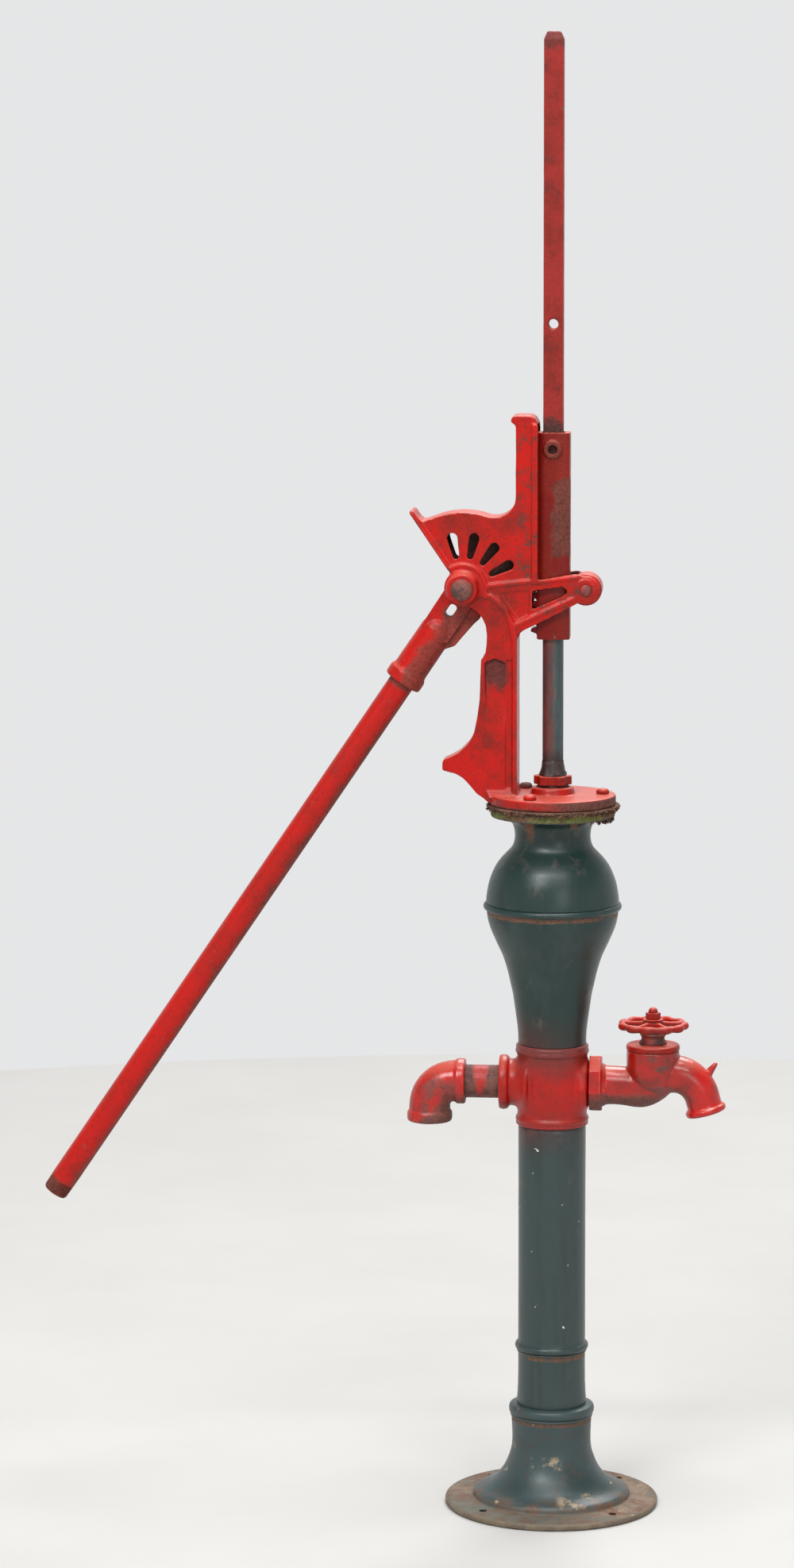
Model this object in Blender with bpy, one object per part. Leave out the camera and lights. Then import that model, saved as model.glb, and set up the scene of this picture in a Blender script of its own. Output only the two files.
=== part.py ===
"""Hand well pump with a geared lever head, a rack slide, a pump rod and a screw-down faucet.

Dimensions are in millimetres, and heights count from the platform that the base flange
stands on. The stand pipe's axis is the Z axis, the lever swings in the XZ plane and the
front of the pump faces -Y. MM turns the dimensions into Blender's metres.
"""

import math

import bmesh
import bpy

MM = 0.001
GAP = 0.3
ROUND_STEPS = 28
SMALL_STEPS = 16
SMOOTH_ANGLE = 35

# Stand pipe, from the platform up
FLANGE_RADIUS = 137
FLANGE_THICKNESS = 9
FLANGE_HOLE_CIRCLE = 117
FLANGE_HOLE_RADIUS = 5.2
DROP_PIPE_RADIUS = 21.4
BASE_TOP = 131
COLUMN_TOP = 494.7
CROSS_TOP = 600
CHAMBER_TOP = 906.7
GASKET_TOP = 909.7
CAP_BOTTOM = 910
CAP_TOP = 923
CAP_RADIUS = 81
CAP_BOLT_CIRCLE = 64
CAP_BOLT_ANGLES = (6, 126, 246)
CAP_BOLT_RADIUS = 4.7
CAP_BOLT_FOOT = 898
CAP_HOLE_RADIUS = 5
CAP_HOLE_FOOT = 897
OUTLET_HEIGHT = 548.5

# Lever head
PIVOT = (-114, 1189)
HUB_RADIUS = 22
HUB_HALF_WIDTH = 21.6
CHEEK_INSIDE = 22.2
CHEEK_OUTSIDE = 27
RIB_OUTSIDE = 29.5
CHEEK_HUB_RADIUS = 23.5
GUARD_INNER_RADIUS = 94.2
FULCRUM_RADIUS = 9
HANDLE_HEADING = 236
HANDLE_OFFSET = 3.2
HANDLE_END = 957

# Gear sector and rack
GEAR_MODULE = 3.5
FULL_CIRCLE_TEETH = 51
SECTOR_TEETH = 15
RACK_TEETH = 21
RACK_TEETH_BELOW_PIVOT = 5
PRESSURE_ANGLE = 20
TOOTH_HALF_WIDTH = 18
RACK_HALF_WIDTH = 14
BACKLASH = 0.35
PITCH_RADIUS = GEAR_MODULE * FULL_CIRCLE_TEETH / 2
TIP_RADIUS = PITCH_RADIUS + GEAR_MODULE
ROOT_RADIUS = PITCH_RADIUS - 1.25 * GEAR_MODULE

# Slide, rods and roller
SLIDE_BOTTOM = 1122.6
SLIDE_LENGTH = 265.2
SLIDE_LEFT = -20.3
SLIDE_RIGHT = 21.8
SLIDE_HALF_DEPTH = 18.5
SLIDE_BORE_HALF = 13.8
SLIDE_HOLE_HEIGHT = 1366
BAR_HALF = 12.7
BAR_BOTTOM = 1290
BAR_TOP = 1897
BAR_HOLE_HEIGHT = 1525.6
ROD_RADIUS = 13.35
ROD_BOTTOM = 370
ROLLER_CENTRE = (42.6, 1187.5)
ROLLER_RADIUS = 20.4
ROLLER_ARM_RADIUS = 18.4
ROLLER_PIN_RADIUS = 6

# Side fittings
ELBOW_CENTRE_X = -158
NIPPLE_RADIUS = 21.1
FAUCET_AXIS_X = 129.5
GLOBE_TOP = 593
SPOUT_TILT = 75


def clear_scene():
    for item in list(bpy.data.objects):
        bpy.data.objects.remove(item, do_unlink=True)


def paint(name, colour, roughness, metallic=0.0):
    """A Principled material."""
    made = bpy.data.materials.new(name)
    made.use_nodes = True
    shader = made.node_tree.nodes["Principled BSDF"]
    shader.inputs["Base Color"].default_value = (*colour, 1.0)
    shader.inputs["Roughness"].default_value = roughness
    shader.inputs["Metallic"].default_value = metallic
    made.diffuse_color = (*colour, 1.0)
    return made


def arc(centre, radius, start, end, steps):
    """Points on an arc in the XZ plane, from one angle to another in degrees, both ends included."""
    angles = [math.radians(start + (end - start) * i / steps) for i in range(steps + 1)]
    return [(centre[0] + radius * math.cos(a), centre[1] + radius * math.sin(a)) for a in angles]


def circle(centre, radius, steps=SMALL_STEPS):
    return arc(centre, radius, 0, 360 - 360 / steps, steps - 1)


def turned_point(point, degrees):
    """The (x, z) point turned about the origin, anticlockwise seen from the front."""
    a = math.radians(degrees)
    x, z = point
    return (x * math.cos(a) - z * math.sin(a), x * math.sin(a) + z * math.cos(a))


def shifted(points, offset):
    return [(x + offset[0], z + offset[1]) for x, z in points]


def object_of(mesh):
    """A scene object that holds this bmesh, with its faces pointing out."""
    bmesh.ops.recalc_face_normals(mesh, faces=mesh.faces)
    data = bpy.data.meshes.new("shape")
    mesh.to_mesh(data)
    mesh.free()
    obj = bpy.data.objects.new("shape", data)
    bpy.context.scene.collection.objects.link(obj)
    return obj


def prism(outline, low, high):
    """The outline of (x, z) points, extruded along Y from low to high."""
    mesh = bmesh.new()
    front = [mesh.verts.new((x * MM, low * MM, z * MM)) for x, z in outline]
    back = [mesh.verts.new((x * MM, high * MM, z * MM)) for x, z in outline]
    mesh.faces.new(front)
    mesh.faces.new(back)
    for i in range(len(outline)):
        j = (i + 1) % len(outline)
        mesh.faces.new((front[i], front[j], back[j], back[i]))
    return object_of(mesh)


def column_prism(outline, low, high):
    """The outline of (x, y) points, extruded along Z from low to high."""
    mesh = bmesh.new()
    bottom = [mesh.verts.new((x * MM, y * MM, low * MM)) for x, y in outline]
    top = [mesh.verts.new((x * MM, y * MM, high * MM)) for x, y in outline]
    mesh.faces.new(bottom)
    mesh.faces.new(top)
    for i in range(len(outline)):
        j = (i + 1) % len(outline)
        mesh.faces.new((bottom[i], bottom[j], top[j], top[i]))
    return object_of(mesh)


def swept(stations, steps=SMALL_STEPS, first_angle=0.0):
    """Rings round a centre line in the XZ plane, from (x, z, heading in degrees, radius) stations.

    A radius of 0 closes the body on the centre line. Stations that never reach 0 go out along
    the outside and back along the inside, and the last ring is joined to the first.
    """
    mesh = bmesh.new()
    rings = []
    for x, z, heading, radius in stations:
        a = math.radians(heading)
        ring = []
        for i in range(steps if radius else 1):
            turn = math.radians(first_angle) + math.tau * i / steps
            side = radius * math.cos(turn)
            point = (x - side * math.sin(a), radius * math.sin(turn), z + side * math.cos(a))
            ring.append(mesh.verts.new([value * MM for value in point]))
        rings.append(ring)
    if stations[0][3]:
        rings.append(rings[0])
    for one, other in zip(rings, rings[1:]):
        for i in range(steps):
            j = (i + 1) % steps
            corners = (one[i % len(one)], one[j % len(one)], other[j % len(other)], other[i % len(other)])
            mesh.faces.new(list(dict.fromkeys(corners)))
    return object_of(mesh)


def turned(profile, steps=ROUND_STEPS, axis=(0, 0), first_angle=0.0):
    """A body turned about a vertical axis, from (radius, height) points."""
    made = swept([(0, height, 90, radius) for radius, height in profile], steps, first_angle)
    made.location = (axis[0] * MM, axis[1] * MM, 0)
    return made


def across(profile, centre, steps=SMALL_STEPS):
    """A body turned about an axis along Y through centre (x, z), from (radius, y) points."""
    made = swept([(0, height, 90, radius) for radius, height in profile], steps)
    made.rotation_euler = (-math.pi / 2, 0, 0)
    made.location = (centre[0] * MM, 0, centre[1] * MM)
    return made


def bake(target):
    """Replaces the target's mesh with the one that its modifiers and placing give."""
    bpy.context.view_layer.update()
    graph = bpy.context.evaluated_depsgraph_get()
    data = bpy.data.meshes.new_from_object(target.evaluated_get(graph))
    data.transform(target.matrix_world)
    target.modifiers.clear()
    target.data = data
    target.location = (0, 0, 0)
    target.rotation_euler = (0, 0, 0)


def combine(target, shapes, operation):
    """Joins the shapes to the target or cuts them from it, and removes them."""
    bake(target)
    for shape in shapes:
        modifier = target.modifiers.new("combine", "BOOLEAN")
        modifier.operation = operation
        modifier.object = shape
        bake(target)
        bpy.data.objects.remove(shape, do_unlink=True)
    return target


def join(target, *shapes):
    return combine(target, shapes, "UNION")


def cut(target, *shapes):
    return combine(target, shapes, "DIFFERENCE")


def empty(name, x, y, z):
    """A marker on a joint's axis, which carries the pieces that move about it."""
    made = bpy.data.objects.new(name, None)
    made.location = (x * MM, y * MM, z * MM)
    bpy.context.scene.collection.objects.link(made)
    return made


def finish(obj, name, material, parent=None):
    """Names a piece, gives it its material, and hangs it on its marker."""
    obj.name = name
    obj.data.name = name
    obj.data.materials.clear()
    obj.data.materials.append(material)
    obj.data.shade_smooth()
    obj.data.set_sharp_from_angle(angle=math.radians(SMOOTH_ANGLE))
    obj.parent = parent
    return obj


def upright_cylinder(radius, low, high, axis=(0, 0), steps=SMALL_STEPS, first_angle=0.0):
    return turned([(0, low), (radius, low), (radius, high), (0, high)], steps, axis, first_angle)


def cross_cylinder(radius, low, high, centre, steps=SMALL_STEPS):
    return across([(0, low), (radius, low), (radius, high), (0, high)], centre, steps)


def hexagon(across_flats):
    return circle((0, 0), across_flats / math.sqrt(3), 6)


def bead(low, high, inner, outer):
    """Profile points of a rounded bead on a pipe, from its foot to its top."""
    middle = (low + high) / 2
    reach = (high - low) / 4
    return [(inner, low), (outer, middle - reach), (outer, middle + reach), (inner, high)]


def base_flange(material):
    outside = [
        (DROP_PIPE_RADIUS, 0),
        (FLANGE_RADIUS, 0),
        (FLANGE_RADIUS, FLANGE_THICKNESS - 2.5),
        (FLANGE_RADIUS - 2.5, FLANGE_THICKNESS),
        (101, 11),
        (98, 18),
        (86, 22.5),
        (71, 34),
        (60, 50),
        (53, 66),
        (50.6, 80),
        (51.8, 114),
    ]
    outside += bead(117, 131, 52.4, 54.4)[1:3]
    outside += [(51, 129.5), (47.5, BASE_TOP)]
    inside = [
        (38.6, BASE_TOP),
        (38.6, 104),
        (43, 100),
        (44, 70),
        (56, 42),
        (80, 12),
        (30, 12),
        (30, 30),
        (DROP_PIPE_RADIUS, 30),
    ]
    body = turned(outside + inside, 32)
    holes = []
    for quarter in range(4):
        a = math.radians(45 + 90 * quarter)
        place = (FLANGE_HOLE_CIRCLE * math.cos(a), FLANGE_HOLE_CIRCLE * math.sin(a))
        holes.append(upright_cylinder(FLANGE_HOLE_RADIUS, -5, 20, place, 12))
    return finish(cut(body, *holes), "base_flange", material)


def column(material):
    foot = BASE_TOP + GAP
    outside = [(33, 108), (38.2, 108), (38.2, foot), (44.6, foot), (44.6, 138), (43.6, 150)]
    outside += bead(200, 212, 43.2, 46.8)
    outside += [(43.4, COLUMN_TOP), (36, COLUMN_TOP), (36, 142), (33, 136)]
    return finish(turned(outside), "column", material)


def cross_fitting(material):
    foot = COLUMN_TOP + GAP
    profile = [(31, 476), (35.6, 476), (35.6, foot), (44.8, foot)]
    profile += bead(foot + 1, 507, 45.5, 47)[1:3]
    profile += [(44.2, 509), (44.2, 586)]
    profile += bead(587, CROSS_TOP - 1, 45, 47.3)[1:3]
    profile += [(45.2, CROSS_TOP), (36, CROSS_TOP), (36, 578), (37, 572), (37, 504), (31, 494)]
    body = turned(profile)
    left = [
        (-38.5, OUTLET_HEIGHT, 180, 0),
        (-38.5, OUTLET_HEIGHT, 180, 36),
        (-43, OUTLET_HEIGHT, 180, 31.5),
        (-48, OUTLET_HEIGHT, 180, 29.8),
        (-54.5, OUTLET_HEIGHT, 180, 29.8),
        (-56, OUTLET_HEIGHT, 180, 33.4),
        (-58.5, OUTLET_HEIGHT, 180, 34.5),
        (-65.5, OUTLET_HEIGHT, 180, 34.5),
        (-67.8, OUTLET_HEIGHT, 180, 32.6),
        (-67.8, OUTLET_HEIGHT, 180, 0),
    ]
    right = [
        (38.5, OUTLET_HEIGHT, 0, 0),
        (38.5, OUTLET_HEIGHT, 0, 34.5),
        (47.9, OUTLET_HEIGHT, 0, 34.5),
        (47.9, OUTLET_HEIGHT, 0, 0),
    ]
    passage = [
        (-75, OUTLET_HEIGHT, 0, 0),
        (-75, OUTLET_HEIGHT, 0, NIPPLE_RADIUS + GAP),
        (55, OUTLET_HEIGHT, 0, NIPPLE_RADIUS + GAP),
        (55, OUTLET_HEIGHT, 0, 0),
    ]
    join(body, swept(left, 20), swept(right, 8, 9.5))
    cut(body, swept(passage, 20, 9))
    return finish(body, "cross_fitting", material)


def air_chamber(material):
    foot = CROSS_TOP + GAP
    profile = [
        (31, 581),
        (35.6, 581),
        (35.6, foot),
        (43.7, foot),
        (44.4, 620),
        (49.5, 657),
        (59, 700),
        (67, 723),
        (80.5, 752),
        (84.8, 770),
        (88.4, 774.5),
        (88.4, 782),
        (85.4, 787),
        (83, 803),
        (76, 824),
        (60, 845.5),
        (50, 859),
        (48.4, 870),
        (50.5, 882),
        (57, 891),
        (76, 894),
        (78.5, 897),
        (78.5, CHAMBER_TOP),
        (40.5, CHAMBER_TOP),
        (40.5, 866),
        (63, 829),
        (76, 785),
        (57, 722),
        (40.5, 650),
        (31, 604),
    ]
    body = turned(profile)
    return finish(cut(body, *cap_holes()), "air_chamber", material)


def cap_bolt_places():
    angles = [math.radians(a) for a in CAP_BOLT_ANGLES]
    return [(CAP_BOLT_CIRCLE * math.cos(a), CAP_BOLT_CIRCLE * math.sin(a)) for a in angles]


def cap_holes():
    """Cutters for the cap's bolts, which end in tapped holes in the chamber's flange."""
    places = cap_bolt_places()
    return [upright_cylinder(CAP_HOLE_RADIUS, CAP_HOLE_FOOT, CAP_TOP + 9, place, 12, 7) for place in places]


def cap_gasket(material):
    low = CHAMBER_TOP + GAP
    wavy = []
    for i in range(40):
        a = math.tau * i / 40
        radius = 84.5 + 1.8 * math.sin(3 * a + 1) + 1.4 * math.sin(7 * a) + 1.2 * math.sin(11 * a + 2)
        wavy.append((radius * math.cos(a), radius * math.sin(a)))
    body = column_prism(wavy, low, GASKET_TOP)
    cut(body, upright_cylinder(40.5, 890, 920, steps=24), *cap_holes())
    return finish(body, "cap_gasket", material)


def polar(radius, degrees):
    """The (x, z) point at this radius and heading from the pivot."""
    a = math.radians(degrees)
    return (PIVOT[0] + radius * math.cos(a), PIVOT[1] + radius * math.sin(a))


def cheek_outline():
    """Outline of the stand seen from the front: guard, rack guard, roller arms and post."""
    px, pz = PIVOT
    outline = [(px - 69, pz + 95.5), (px - 67.5, pz + 99), (px - 64, pz + 99.2), (px - 57, pz + 89)]
    outline += [polar(98.6, 121), polar(98.2, 118)]
    outline += arc(PIVOT, 97, 113, 72, 8)
    outline += [(-79, 1279.6), (-69, 1279.8), (-62.5, 1282), (-56.5, 1285.8), (-51.5, 1291), (-48, 1297.5)]
    outline += [(-46.8, 1306), (-46.8, 1394), (-47.5, 1397.5), (-52.5, 1401), (-53.4, 1404.5)]
    outline += [(-51, 1408.2), (-46, 1410), (-28, 1409.8), (-22.5, 1406.5), (-19, 1400), (-18, 1392)]
    outline += [(-18, 1199.5), (18, 1206.5), (30, 1208)]
    outline += arc(ROLLER_CENTRE, ROLLER_ARM_RADIUS, 100, -118, 12)
    outline += [(-4.9, 1150.3), (-36, 1135.5), (-41.5, 1131), (-44.2, 1124), (-44.2, 914)]
    outline += [(-81.8, 914), (-85.4, 917.7), (-96, 924.9), (-107.5, 938), (-114.5, 944.5), (-123, 949)]
    outline += [(-139.5, 952.2), (-141.4, 954), (-141.2, 964), (-139.4, 967), (-129, 971.5), (-119.5, 977)]
    outline += [(-108.3, 988), (-103, 996), (-99.5, 1005), (-95.8, 1024), (-92.8, 1045), (-90.8, 1098)]
    outline += [(-86, 1102.6), (-84, 1116), (-83.6, 1130), (-85, 1141), (-89.5, 1151), (-98, 1161)]
    outline += arc(PIVOT, CHEEK_HUB_RADIUS, 282, 132, 10)
    return outline


def swing_space():
    """The room between the cheeks that the sector and the lever's arm swing in.

    It stops short of the guard's left end, where a wall ties the cheeks together.
    """
    px, pz = PIVOT
    room = arc(PIVOT, GUARD_INNER_RADIUS, -106, 112, 28)
    room += [(px - 18.7, pz + 44), (px - 60, pz + 78.5), (px - 130, pz + 78.5), (px - 130, pz - 80)]
    return prism(room, -CHEEK_INSIDE, CHEEK_INSIDE)


def slide_space():
    """The room between the cheeks that the slide and its rack run in."""
    room = [(-42, 1200), (-44, 1130), (-44, 1085), (80, 1085), (80, 1398), (-36, 1398), (-42, 1390)]
    return prism(room, -CHEEK_INSIDE, CHEEK_INSIDE)


def post_hollow():
    """The cast hollow of the post, open to the swing space above it."""
    room = [(-88, 948), (-54, 948), (-54, 1105), (-80, 1105), (-84, 1060), (-88, 1010)]
    return prism(room, -14, 14)


def guard_slot(heading):
    """A slot of the guard, tapered towards the pivot, cut through both cheeks."""
    narrow = arc((41.2, 0), 3.6, 90, 270, 4)
    wide = arc((65.6, 0), 6.4, -90, 90, 6)
    outline = [turned_point(point, heading) for point in narrow + wide]
    return prism(shifted(outline, PIVOT), -40, 40)


def arm_window():
    window = [(-25.5, 1162.5), (12, 1179), (20, 1185.5), (13, 1191.5), (-25.5, 1186)]
    return prism(window, -40, 40)


def both_sides(outline, near, far):
    """The outline extruded between two distances from the middle plane, in front and behind."""
    return [prism(outline, -far, -near), prism(outline, near, far)]


def web_panels():
    """Shallow sunk panels of the web between the arch and the roller arms."""
    return both_sides([(-70, 1183.5), (-28.5, 1187.5), (-28.5, 1156), (-43, 1147.5), (-52, 1158)], 24.8, 40)


def hull(points):
    """The convex body round these (x, y, z) points."""
    mesh = bmesh.new()
    corners = [mesh.verts.new([value * MM for value in point]) for point in points]
    made = bmesh.ops.convex_hull(mesh, input=corners)
    spare = made["geom_interior"] + made["geom_unused"]
    bmesh.ops.delete(mesh, geom=[item for item in spare if isinstance(item, bmesh.types.BMVert)])
    return object_of(mesh)


def post_cutters():
    """What the post loses in front and behind: a sloping recess, a groove, and the taper of its lug."""
    cutters = both_sides([(-60, 928), (-50.4, 928), (-50.4, 1098), (-60, 1098)], CHEEK_OUTSIDE - 2, 40)
    for side in (-1, 1):
        foot = [(-85.5, 27.2, 1005), (-60, 27.2, 1005)]
        head = [(-85.5, 22, 1094), (-73, 22, 1099), (-60, 22, 1094)]
        recess = foot + head + [(x, 35, z) for x, y, z in foot + head]
        cutters.append(hull([(x, side * y, z) for x, y, z in recess]))
        taper = [(-150, side * 11), (-100, side * 27.2), (-100, side * 40), (-150, side * 40)]
        cutters.append(column_prism(taper, 925, 1015))
    return cutters


def strip(start, end, width, reach):
    """A straight raised rib from start to end, standing reach from the middle plane on both cheeks."""
    length = math.dist(start, end)
    heading = math.degrees(math.atan2(end[1] - start[1], end[0] - start[0]))
    corners = [(0, -width / 2), (length, -width / 2), (length, width / 2), (0, width / 2)]
    outline = shifted([turned_point(corner, heading) for corner in corners], start)
    return both_sides(outline, CHEEK_OUTSIDE - 1, reach)


def arch_rib():
    """A raised rib that leaves the pivot's ring, arches over and runs down the post."""
    outer = [(-88, 1184.5), (-77, 1181), (-66, 1173.5), (-56.5, 1162), (-49, 1146)]
    outer += [(-44.6, 1128), (-44.6, 916)]
    inner = [(-50, 916), (-50.6, 1120), (-56, 1145), (-63.5, 1160), (-72.5, 1169.5)]
    inner += [(-82, 1175.5), (-90, 1178)]
    return both_sides(outer + inner, CHEEK_OUTSIDE - 1, RIB_OUTSIDE + 1)


def hub_ring():
    """A raised band round the upper right of the pivot, where the guard's ribs meet."""
    band = arc(PIVOT, 31.5, 126, -26, 14) + arc(PIVOT, 26.5, -26, 126, 14)
    return both_sides(band, CHEEK_OUTSIDE - 1, RIB_OUTSIDE + 0.6)


def stand_ribs():
    px, pz = PIVOT
    ribs = strip((px - 66, pz + 97), (px - 17.5, pz + 24), 4.4, RIB_OUTSIDE + 0.4)
    ribs += strip((-22, 1195), (-22, 1399), 7.4, RIB_OUTSIDE + 0.8)
    ribs += strip((px + 28, pz + 2.5), (-20, 1199), 5.4, RIB_OUTSIDE + 0.2)
    ribs += strip((-24, 1197.2), (33, 1203.6), 5, RIB_OUTSIDE)
    ribs += strip((-47, 1141.5), (30, 1177.5), 5.2, RIB_OUTSIDE)
    ribs += arch_rib() + hub_ring()
    ribs += strip((-86.6, 1040), (-88.4, 1096), 4.6, CHEEK_OUTSIDE + 1)
    return ribs


def bearer_stand(material):
    """Cap flange, stuffing box, post, gear guard, rack guard and roller arms in one casting."""
    body = prism(cheek_outline(), -CHEEK_OUTSIDE, CHEEK_OUTSIDE)
    cut(body, post_hollow(), swing_space(), slide_space())
    cut(body, *[guard_slot(heading) for heading in (102, 77, 52, 27)])
    cut(body, arm_window(), *web_panels(), *post_cutters())
    join(body, *stand_ribs())
    bosses = []
    for side in (-1, 1):
        low = side * (CHEEK_INSIDE + 0.6)
        hub = [(0, low), (CHEEK_HUB_RADIUS + 0.6, low), (CHEEK_HUB_RADIUS + 0.6, side * 30)]
        hub += [(20.6, side * 33), (20, side * 44), (18, side * 45.5), (0, side * 45.5)]
        bosses.append(across(hub, PIVOT, 24))
        bosses.append(across([(0, low), (15.6, low), (14, side * 29), (0, side * 29)], ROLLER_CENTRE, 16))
    join(body, *bosses)
    profile = [
        (0, 868),
        (27, 868),
        (27, CAP_BOTTOM - 4),
        (39, CAP_BOTTOM),
        (CAP_RADIUS, CAP_BOTTOM),
        (CAP_RADIUS, CAP_TOP - 1),
        (CAP_RADIUS - 1, CAP_TOP),
        (29.5, CAP_TOP),
        (27.7, CAP_TOP + 4),
        (0, CAP_TOP + 4),
    ]
    foot = [(x, y, CAP_TOP - 3) for x in (-80, -42.6) for y in (-34, 34)]
    foot += [(x, y, CAP_TOP + 9) for x in (-86, -44.4) for y in (-26.4, 26.4)]
    join(body, turned(profile, 36), hull(foot))
    box = [(0, 880), (20.3, 880), (20.3, 940), (0, 940)]
    cut(body, turned(box, 20), upright_cylinder(ROD_RADIUS + 0.45, 850, 900, first_angle=5))
    cut(body, *cap_holes())
    cut(body, cross_cylinder(FULCRUM_RADIUS + GAP, -60, 60, PIVOT))
    cut(body, cross_cylinder(ROLLER_PIN_RADIUS + GAP, -60, 60, ROLLER_CENTRE, 16))
    return finish(body, "bearer_stand", material)


def cap_bolts(materials):
    for number, (place, material) in enumerate(zip(cap_bolt_places(), materials), 1):
        head_low = CAP_TOP + GAP
        profile = [
            (0, CAP_BOLT_FOOT),
            (CAP_BOLT_RADIUS, CAP_BOLT_FOOT),
            (CAP_BOLT_RADIUS, head_low),
            (8.6, head_low),
            (8.6, head_low + 3.5),
            (6.2, head_low + 6),
            (0, head_low + 6.4),
        ]
        bolt = turned(profile, 12, place)
        bake(bolt)
        finish(bolt, f"cap_bolt_{number}", material)


def rod_packing(material):
    profile = [(13.7, 880.3), (20, 880.3), (20, 904.5), (13.7, 904.5)]
    return finish(turned(profile, 24), "rod_packing", material)


def gland_nut(material):
    """Spanner nut whose shank screws into the stuffing box and presses on the packing."""
    bore = ROD_RADIUS + 0.45
    shank = turned([(bore, 904.8), (20, 904.8), (20, 936), (bore, 936)], 24)
    lobes = []
    for i in range(6):
        lobes += arc((0, 0), 24.6, 60 * i - 11, 60 * i + 11, 2)
        lobes += arc((0, 0), 20.6, 60 * i + 22, 60 * i + 38, 1)
    head = column_prism(lobes, 935.5, 947)
    cut(head, upright_cylinder(bore, 930, 950, steps=24))
    return finish(join(shank, head), "gland_nut", material)


def fulcrum_pin(material):
    profile = [
        (0, 62),
        (FULCRUM_RADIUS - 1, 62),
        (FULCRUM_RADIUS, 61),
        (FULCRUM_RADIUS, -45.8),
        (14.2, -45.8),
        (14, -49),
        (11.5, -53),
        (6.5, -55.6),
        (0, -56.4),
    ]
    pin = across(profile, PIVOT)
    bake(pin)
    return finish(pin, "fulcrum_pin", material)


def fulcrum_nut(material):
    nut = prism(shifted(hexagon(28), PIVOT), 45.8, 57.5)
    cut(nut, cross_cylinder(FULCRUM_RADIUS + GAP, 40, 70, PIVOT))
    return finish(nut, "fulcrum_nut", material)


def roller_pin(material):
    profile = [
        (0, -32.4),
        (5.5, -31.8),
        (7.6, -29.3),
        (ROLLER_PIN_RADIUS, -29.3),
        (ROLLER_PIN_RADIUS, 29.3),
        (7.6, 29.3),
        (5.5, 31.8),
        (0, 32.4),
    ]
    pin = across(profile, ROLLER_CENTRE, 16)
    bake(pin)
    return finish(pin, "roller_pin", material)


def guide_roller(material, parent):
    bore = ROLLER_PIN_RADIUS + GAP
    profile = [
        (bore, -21.4),
        (ROLLER_RADIUS - 1.5, -21.4),
        (ROLLER_RADIUS, -20),
        (ROLLER_RADIUS, 20),
        (ROLLER_RADIUS - 1.5, 21.4),
        (bore, 21.4),
    ]
    roller = across(profile, (0, 0), 28)
    bake(roller)
    return finish(roller, "guide_roller", material, parent)


def involute(angle):
    return math.tan(angle) - angle


def tooth_half_angle(radius):
    """Half the angle in degrees that an involute tooth of the sector spans at this radius."""
    pressure = math.radians(PRESSURE_ANGLE)
    here = math.acos(min(1.0, PITCH_RADIUS * math.cos(pressure) / radius))
    at_pitch = (math.pi * GEAR_MODULE / 2 - BACKLASH) / (2 * PITCH_RADIUS)
    return math.degrees(at_pitch + involute(pressure) - involute(here))


def sector_outline():
    """The toothed rim, whose gap below the first tooth faces the rack at rest."""
    pitch_angle = 360 / FULL_CIRCLE_TEETH
    outline = []
    for number in range(SECTOR_TEETH):
        middle = (number - 0.5) * pitch_angle
        for radius in (ROOT_RADIUS, PITCH_RADIUS, TIP_RADIUS):
            outline += arc((0, 0), radius, middle - tooth_half_angle(radius), 0, 1)[:1]
        for radius in (TIP_RADIUS, PITCH_RADIUS, ROOT_RADIUS):
            outline += arc((0, 0), radius, middle + tooth_half_angle(radius), 0, 1)[:1]
    last = (SECTOR_TEETH - 1) * pitch_angle
    return outline + arc((0, 0), ROOT_RADIUS - 8, last, -pitch_angle, 18)


def on_arm(points):
    """(x, z) points about the pivot, from (distance along the arm, height above its centre line)."""
    return [turned_point((u, w + HANDLE_OFFSET), HANDLE_HEADING) for u, w in points]


def arm_stations(profile):
    """Stations along the handle's centre line, from (distance, radius) pairs."""
    return [(*on_arm([(u, 0)])[0], HANDLE_HEADING, radius) for u, radius in profile]


def lever(material, parent):
    """Hub, webs, toothed sector, arm and handle socket in one casting, about the pivot."""
    pitch_angle = 360 / FULL_CIRCLE_TEETH
    first = -pitch_angle
    last = (SECTOR_TEETH - 1) * pitch_angle
    body = cross_cylinder(HUB_RADIUS, -HUB_HALF_WIDTH, HUB_HALF_WIDTH, (0, 0), 28)
    sector = prism([(0, 0)] + arc((0, 0), ROOT_RADIUS - 4, first + 1, last - 1, 14), -6, 6)
    web = prism([(0, 0)] + arc((0, 0), 42, -56, first + 2, 6), -5.5, 5.5)
    heel = prism(on_arm([(12, 12), (84, 18), (80, 22.4), (70, 30), (32, 34.5), (22, 37), (12, 30)]), -9, 9)
    arm = prism(on_arm([(6, -22), (22, -21.6), (72, -20.6), (72, 20.6), (6, 20)]), -15, 15)
    join(body, sector, web, heel, arm)
    rim = prism(sector_outline(), -TOOTH_HALF_WIDTH, TOOTH_HALF_WIDTH)
    socket = [
        (50, 0),
        (50, 15),
        (57, 19.5),
        (66, 22),
        (126, 22.3),
        (130, 22.9),
        (133.5, 25.2),
        (145.5, 25.3),
        (147.5, 23.8),
        (147.5, 0),
    ]
    join(body, rim, swept(arm_stations(socket), 28))
    bore = [(84, 0), (84, 17), (160, 17), (160, 0)]
    window = [(28, -4.4), (41, -4.4), (43.5, -2), (43.5, 3), (41, 5.4), (28, 5.4), (25.5, 3), (25.5, -2)]
    cut(body, swept(arm_stations(bore), 28), prism(on_arm(window), -30, 30))
    cut(body, cross_cylinder(FULCRUM_RADIUS + GAP, -30, 30, (0, 0)))
    return finish(body, "lever", material, parent)


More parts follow.
